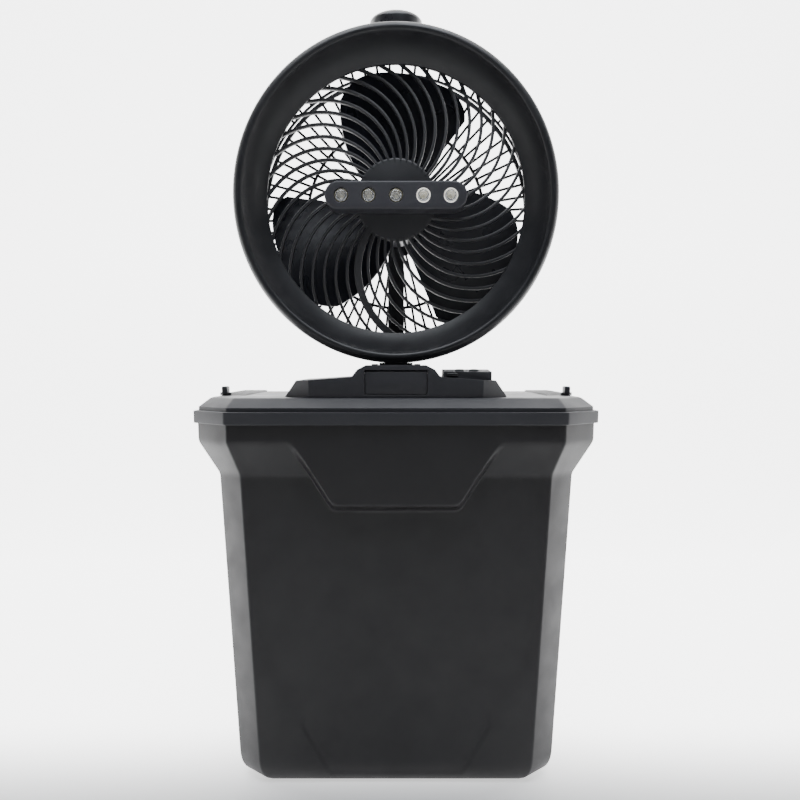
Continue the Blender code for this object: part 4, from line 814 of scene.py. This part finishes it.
def make_rear_grille():
    bm = bmesh.new()
    back = REAR_FACE
    plate_front = REAR_FACE + THIN
    section = bar_section(SPOKE_WIDTH, THIN, 0.0006)
    zones = [(REAR_HUB - 0.002, REAR_RINGS[0], SPOKES[0]), (REAR_RINGS[0], REAR_RINGS[1], SPOKES[1])]
    for low, high, count in zones:
        for index in range(count):
            angle = math.tau * index / count - math.pi / 2
            arm = Vector((math.cos(angle), math.sin(angle), 0))
            path = [arm * low + Vector((0, 0, plate_front)), arm * high + Vector((0, 0, plate_front))]
            sweep(bm, path, [Vector((0, 0, 1))] * 2, section, HEAD)
    ring_spans = ((REAR_RINGS[0] - RING_HALF, REAR_RINGS[0] + RING_HALF),
                  (REAR_RINGS[1] - RING_HALF, REAR_HIGH.x))
    for low, high in ring_spans:
        ring = [(low, back), (high, back), (high, plate_front - 0.0005), (high - 0.0005, plate_front),
                (low + 0.0005, plate_front), (low, plate_front - 0.0005)]
        lathe(bm, ring, 160, HEAD)
    hub = [(0, back), (REAR_HUB, back), (REAR_HUB, plate_front - 0.0006), (REAR_HUB - 0.0006, plate_front),
           (0, plate_front)]
    lathe(bm, hub, 96, HEAD, closed=False)
    finish_piece("rear_guard", bm, "head", rib_black, ["rear_grille"], angle=45)
    soften("cable_duct", "head", rib_black, 0.0006, 2)
    soften("motor_housing", "head", zinc, 0.0004, 2)


# ---- the light bar ----

LEDS = 5
LED_PITCH = 0.0253
LED_HOLE = 0.0068
BAR_BACK = -BAR_HIGH.y
BAR_FRONT = -BAR_LOW.y
BAR_ROUND = 0.0019


def stadium(half_x, half_y, inset, steps=16):
    reach = half_x - half_y
    radius = half_y - inset
    points = []
    for side in (1, -1):
        for step in range(steps + 1):
            angle = math.pi * (step / steps - 0.5) + (0 if side > 0 else math.pi)
            points.append((side * reach + radius * math.cos(angle), radius * math.sin(angle)))
    return points


def make_light_bar():
    half_x, half_y = BAR_HIGH.x, (BAR_HIGH.z - BAR_LOW.z) / 2
    rings = [[(x, y, BAR_BACK) for x, y in stadium(half_x, half_y, 0)]]
    for step in range(7):
        angle = math.pi / 2 * step / 6
        inset = BAR_ROUND * (1 - math.cos(angle))
        height = BAR_FRONT - BAR_ROUND + BAR_ROUND * math.sin(angle)
        rings.append([(x, y, height) for x, y in stadium(half_x, half_y, inset)])
    bm = bmesh.new()
    loft(bm, rings, HEAD)
    bar = finish_piece("light_bar_shell", bm, "head", bar_grey, ["led_bar_housing"], angle=40)
    cutter = bmesh.new()
    places = [LED_PITCH * (index - (LEDS - 1) / 2) for index in range(LEDS)]
    floor = BAR_FRONT - 0.0098
    for x in places:
        hole = [(0, floor), (LED_HOLE, floor), (LED_HOLE, BAR_FRONT - 0.0005), (LED_HOLE + 0.0005, BAR_FRONT),
                (LED_HOLE + 0.0008, BAR_FRONT + 0.003), (0, BAR_FRONT + 0.003)]
        lathe(cutter, hole, 64, HEAD @ Matrix.Translation((x, 0, 0)), closed=False)
    carve(bar, cutter)
    mouth = BAR_FRONT - 0.0012
    deep = BAR_FRONT - 0.0090
    for index, x in enumerate(places):
        place = HEAD @ Matrix.Translation((x, 0, 0))
        # The two right-hand reflectors take the painted-reflection copy of the reflector material.
        painted_glint = index >= 3
        radius = LED_HOLE - FIT
        cup = [(radius, mouth), (radius, deep), (0, deep), (0, deep + 0.0006), (0.0022, deep + 0.0006)]
        bowl = curve_through((0.0026, deep + 0.0010), (0.0054, deep + 0.0030), (radius - 0.0005, mouth), 8)
        cup += [tuple(point) for point in bowl]
        bm = bmesh.new()
        lathe(bm, cup[::-1], 64, place, closed=False)
        look = painted_glint_reflector if painted_glint else reflector
        finish_piece(f"led_reflector_{index + 1}", bm, "head", look, [f"led_lens_{index + 1}"],
                     angle=40)
        bm = bmesh.new()
        die = [(0, deep + 0.0018), (0.0012, deep + 0.0017), (0.0017, deep + 0.0014), (0.0018, deep + 0.0007),
               (0, deep + 0.0007)]
        lathe(bm, die, 32, place, closed=False)
        finish_piece(f"led_die_{index + 1}", bm, "head", led_die, angle=40)
        bm = bmesh.new()
        optic = [(0, mouth - 0.0007), (0.0028, mouth - 0.0008), (0.0032, mouth - 0.0012),
                 (0.0048, mouth - 0.0009), (0.0054, mouth - 0.0012), (0.0053, mouth - 0.0018),
                 (0.0045, mouth - 0.0030), (0.0026, mouth - 0.0046), (0, mouth - 0.0050)]
        lathe(bm, optic, 48, place, closed=False)
        finish_piece(f"led_optic_{index + 1}", bm, "head", lens_clear, angle=30)


# ---- the impeller ----

def blade_sheet(turn, across=44, along=26):
    rows = []
    root = HUB_CAP - 0.002
    for step in range(along + 1):
        row = []
        for part in range(across + 1):
            share = part / across
            tip = TIP - TIP_ROUND * abs(2 * share - 1) ** TIP_SQUARENESS
            radius = root + (tip - root) * step / along
            swept = SWEPT_EDGE + SWEEP * (TIP - radius)
            angle = STRAIGHT_EDGE + (swept - STRAIGHT_EDGE) * share + turn
            height = BLADE_REAR + (BLADE_FRONT - BLADE_REAR) * share
            height += BLADE_CAMBER * math.sin(math.pi * share)
            row.append((radius * math.cos(angle), radius * math.sin(angle), height))
        rows.append(row)
    return rows


def make_impeller():
    bm = bmesh.new()
    front = -CAP_LOW.y
    back = front - CAP_LENGTH
    inner = HUB_CAP - THIN
    crown = curve_through((HUB_CAP - 0.0062, front), (HUB_CAP - 0.0004, front - 0.0003),
                          (HUB_CAP, front - 0.0062), 10)
    cap = [Vector((0.0033, front))] + crown + [Vector(p) for p in (
        (HUB_CAP, back + 0.0005), (HUB_CAP - 0.0005, back), (inner, back), (inner, front - 0.004),
        (0.009, front - 0.004), (0.009, -0.0155), (0.0033, -0.0155))]
    lathe(bm, cap, 96, HEAD)
    finish_piece("impeller_hub", bm, "rotor", blade_navy, angle=38)
    for index in range(BLADES):
        bm = bmesh.new()
        rows = [[bm.verts.new(HEAD @ Vector(point)) for point in row]
                for row in blade_sheet(math.tau * index / BLADES)]
        skin(bm, rows, loop=False)
        blade = finish_piece(f"impeller_blade_{index + 1}", bm, "rotor", blade_navy,
                             ["impeller"] if index == 0 else (), angle=40)
        solid = blade.modifiers.new("thickness", "SOLIDIFY")
        solid.thickness = BLADE_THICKNESS
        solid.offset = 0
        apply_modifiers(blade)
        blade.data.shade_smooth()
        blade.data.set_sharp_from_angle(angle=math.radians(50))


# ---- carried-over nodes ----

def paint_nodes():
    looks = [
        (rubber, ["lid_gasket", "charging_socket", "dial_switch"]),
        (nylon, ["lid_lock_cam_left", "lid_lock_cam_right", "swivel_bush", "tilt_washer_left",
                 "tilt_washer_right"]),
        (steel, ["port_cover_pin", "tilt_pin", "swivel_nut", "front_bearing", "rear_bearing", "motor_shaft",
                 "impeller_nut", "dial_spindle"] + [f"motor_screw_{index}" for index in (1, 2, 3, 4)]),
        (cell_wrap, ["battery_pack"]),
        (board_green, ["control_board", "led_board"]),
        (windings, ["motor_stator"]),
        (ground_steel, ["motor_rotor"]),
    ]
    for look, names in looks:
        for name in names:
            node = frame["nodes"][name]
            node.data.materials.clear()
            node.data.materials.append(look)


make_tank()
make_lid()
for side in (-1, 1):
    make_rail(side)
make_pedestal()
make_bezel()
make_drum()
make_dial_boss()
make_tilt_lug()
make_dial()
make_front_grille()
make_rear_grille()
make_light_bar()
make_impeller()
paint_nodes()


# ---- the studio ----

PAPER = 0.62
PAPER_ROUGH = 0.9
GLOW = 4.0
GLOW_START = -0.15
GLOW_FULL = 0.08
SWEEP_START = 0.9
SWEEP_BEND = 0.7
SWEEP_REACH = 4.5
SWEEP_TOP = 4.0
WORLD_COLOUR = (0.9, 0.93, 1.0, 1)
WORLD_STRENGTH = 0.05
WHITE = (1, 1, 1)
LIGHTS = [
    ("overhead", (0.0, -0.55, 1.75), (0, 0, 0.45), (1.3, 0.9), 24, (0.90, 0.94, 1.0)),
    ("left_strip", (-1.35, -0.15, 0.55), (0, 0, 0.35), (0.5, 1.3), 7, WHITE),
    ("right_strip", (1.35, -0.15, 0.55), (0, 0, 0.35), (0.5, 1.3), 7, WHITE),
    ("backdrop_wash", (0.0, 0.2, 2.0), (0, 1.6, 0.8), (2.4, 0.5), 40, WHITE),
]
SENSOR = 36.0
LENS = 38.25
SHIFT = (0.005, 0.1314)
EYE = (0.0, -0.885, 0.414)
EYE_TILT = math.radians(80.68)


def studio_white(name, colour, rough):
    made = bpy.data.materials.new(name)
    made.use_nodes = True
    tree = made.node_tree
    shader = tree.nodes["Principled BSDF"]
    drift = surface_noise(tree, 1.2, 2.0)
    tint = add_node(tree, "ShaderNodeValToRGB")
    tint.color_ramp.elements[0].color = (colour * 0.985, colour * 0.985, colour * 0.98, 1)
    tint.color_ramp.elements[1].color = (colour, colour, colour, 1)
    tree.links.new(drift.outputs["Fac"], tint.inputs["Fac"])
    tree.links.new(tint.outputs["Color"], shader.inputs["Base Color"])
    shader.inputs["Roughness"].default_value = rough
    place = add_node(tree, "ShaderNodeTexCoord")
    split = add_node(tree, "ShaderNodeSeparateXYZ")
    rise = add_node(tree, "ShaderNodeMapRange", interpolation_type="SMOOTHSTEP")
    rise.inputs["From Min"].default_value = GLOW_START
    rise.inputs["From Max"].default_value = GLOW_FULL
    rise.inputs["To Min"].default_value = 0.0
    rise.inputs["To Max"].default_value = GLOW
    tree.links.new(place.outputs["Object"], split.inputs["Vector"])
    tree.links.new(split.outputs["Y"], rise.inputs["Value"])
    tree.links.new(rise.outputs["Result"], shader.inputs["Emission Strength"])
    shader.inputs["Emission Color"].default_value = (1, 1, 1, 1)
    return made


def make_floor():
    """A paper sweep: flat under the object, and curving up well behind it."""
    turns = [math.pi / 2 * step / 16 for step in range(1, 17)]
    path = [(-SWEEP_REACH, 0.0), (SWEEP_START, 0.0)]
    path += [(SWEEP_START + SWEEP_BEND * math.sin(a), SWEEP_BEND - SWEEP_BEND * math.cos(a)) for a in turns]
    path.append((SWEEP_START + SWEEP_BEND, SWEEP_TOP))
    bm = bmesh.new()
    rows = [[bm.verts.new((x, y, z)) for x in (-SWEEP_REACH, SWEEP_REACH)] for y, z in path]
    skin(bm, rows, loop=False)
    mesh = bpy.data.meshes.new("paper_sweep")
    bm.to_mesh(mesh)
    bm.free()
    mesh.shade_smooth()
    mesh.materials.append(studio_white("paper", PAPER, PAPER_ROUGH))
    floor = bpy.data.objects.new("paper_sweep", mesh)
    bpy.context.scene.collection.objects.link(floor)


def softbox(name, place, target, size, power, colour):
    light = bpy.data.lights.new(name, "AREA")
    light.shape = "RECTANGLE"
    light.size, light.size_y = size
    light.energy = power
    light.color = colour
    lamp = bpy.data.objects.new(name, light)
    lamp.location = place
    lamp.rotation_euler = (Vector(target) - Vector(place)).to_track_quat("-Z", "Y").to_euler()
    bpy.context.scene.collection.objects.link(lamp)


def make_studio():
    make_floor()
    world = bpy.data.worlds.new("studio")
    world.use_nodes = True
    world.node_tree.nodes["Background"].inputs["Color"].default_value = WORLD_COLOUR
    world.node_tree.nodes["Background"].inputs["Strength"].default_value = WORLD_STRENGTH
    bpy.context.scene.world = world
    for light in LIGHTS:
        softbox(*light)
    camera = bpy.data.cameras.new("camera")
    camera.sensor_width = SENSOR
    camera.lens = LENS
    camera.shift_x, camera.shift_y = SHIFT
    eye = bpy.data.objects.new("camera", camera)
    eye.location = EYE
    eye.rotation_euler = (EYE_TILT, 0, 0)
    bpy.context.scene.collection.objects.link(eye)
    bpy.context.scene.camera = eye


make_studio()
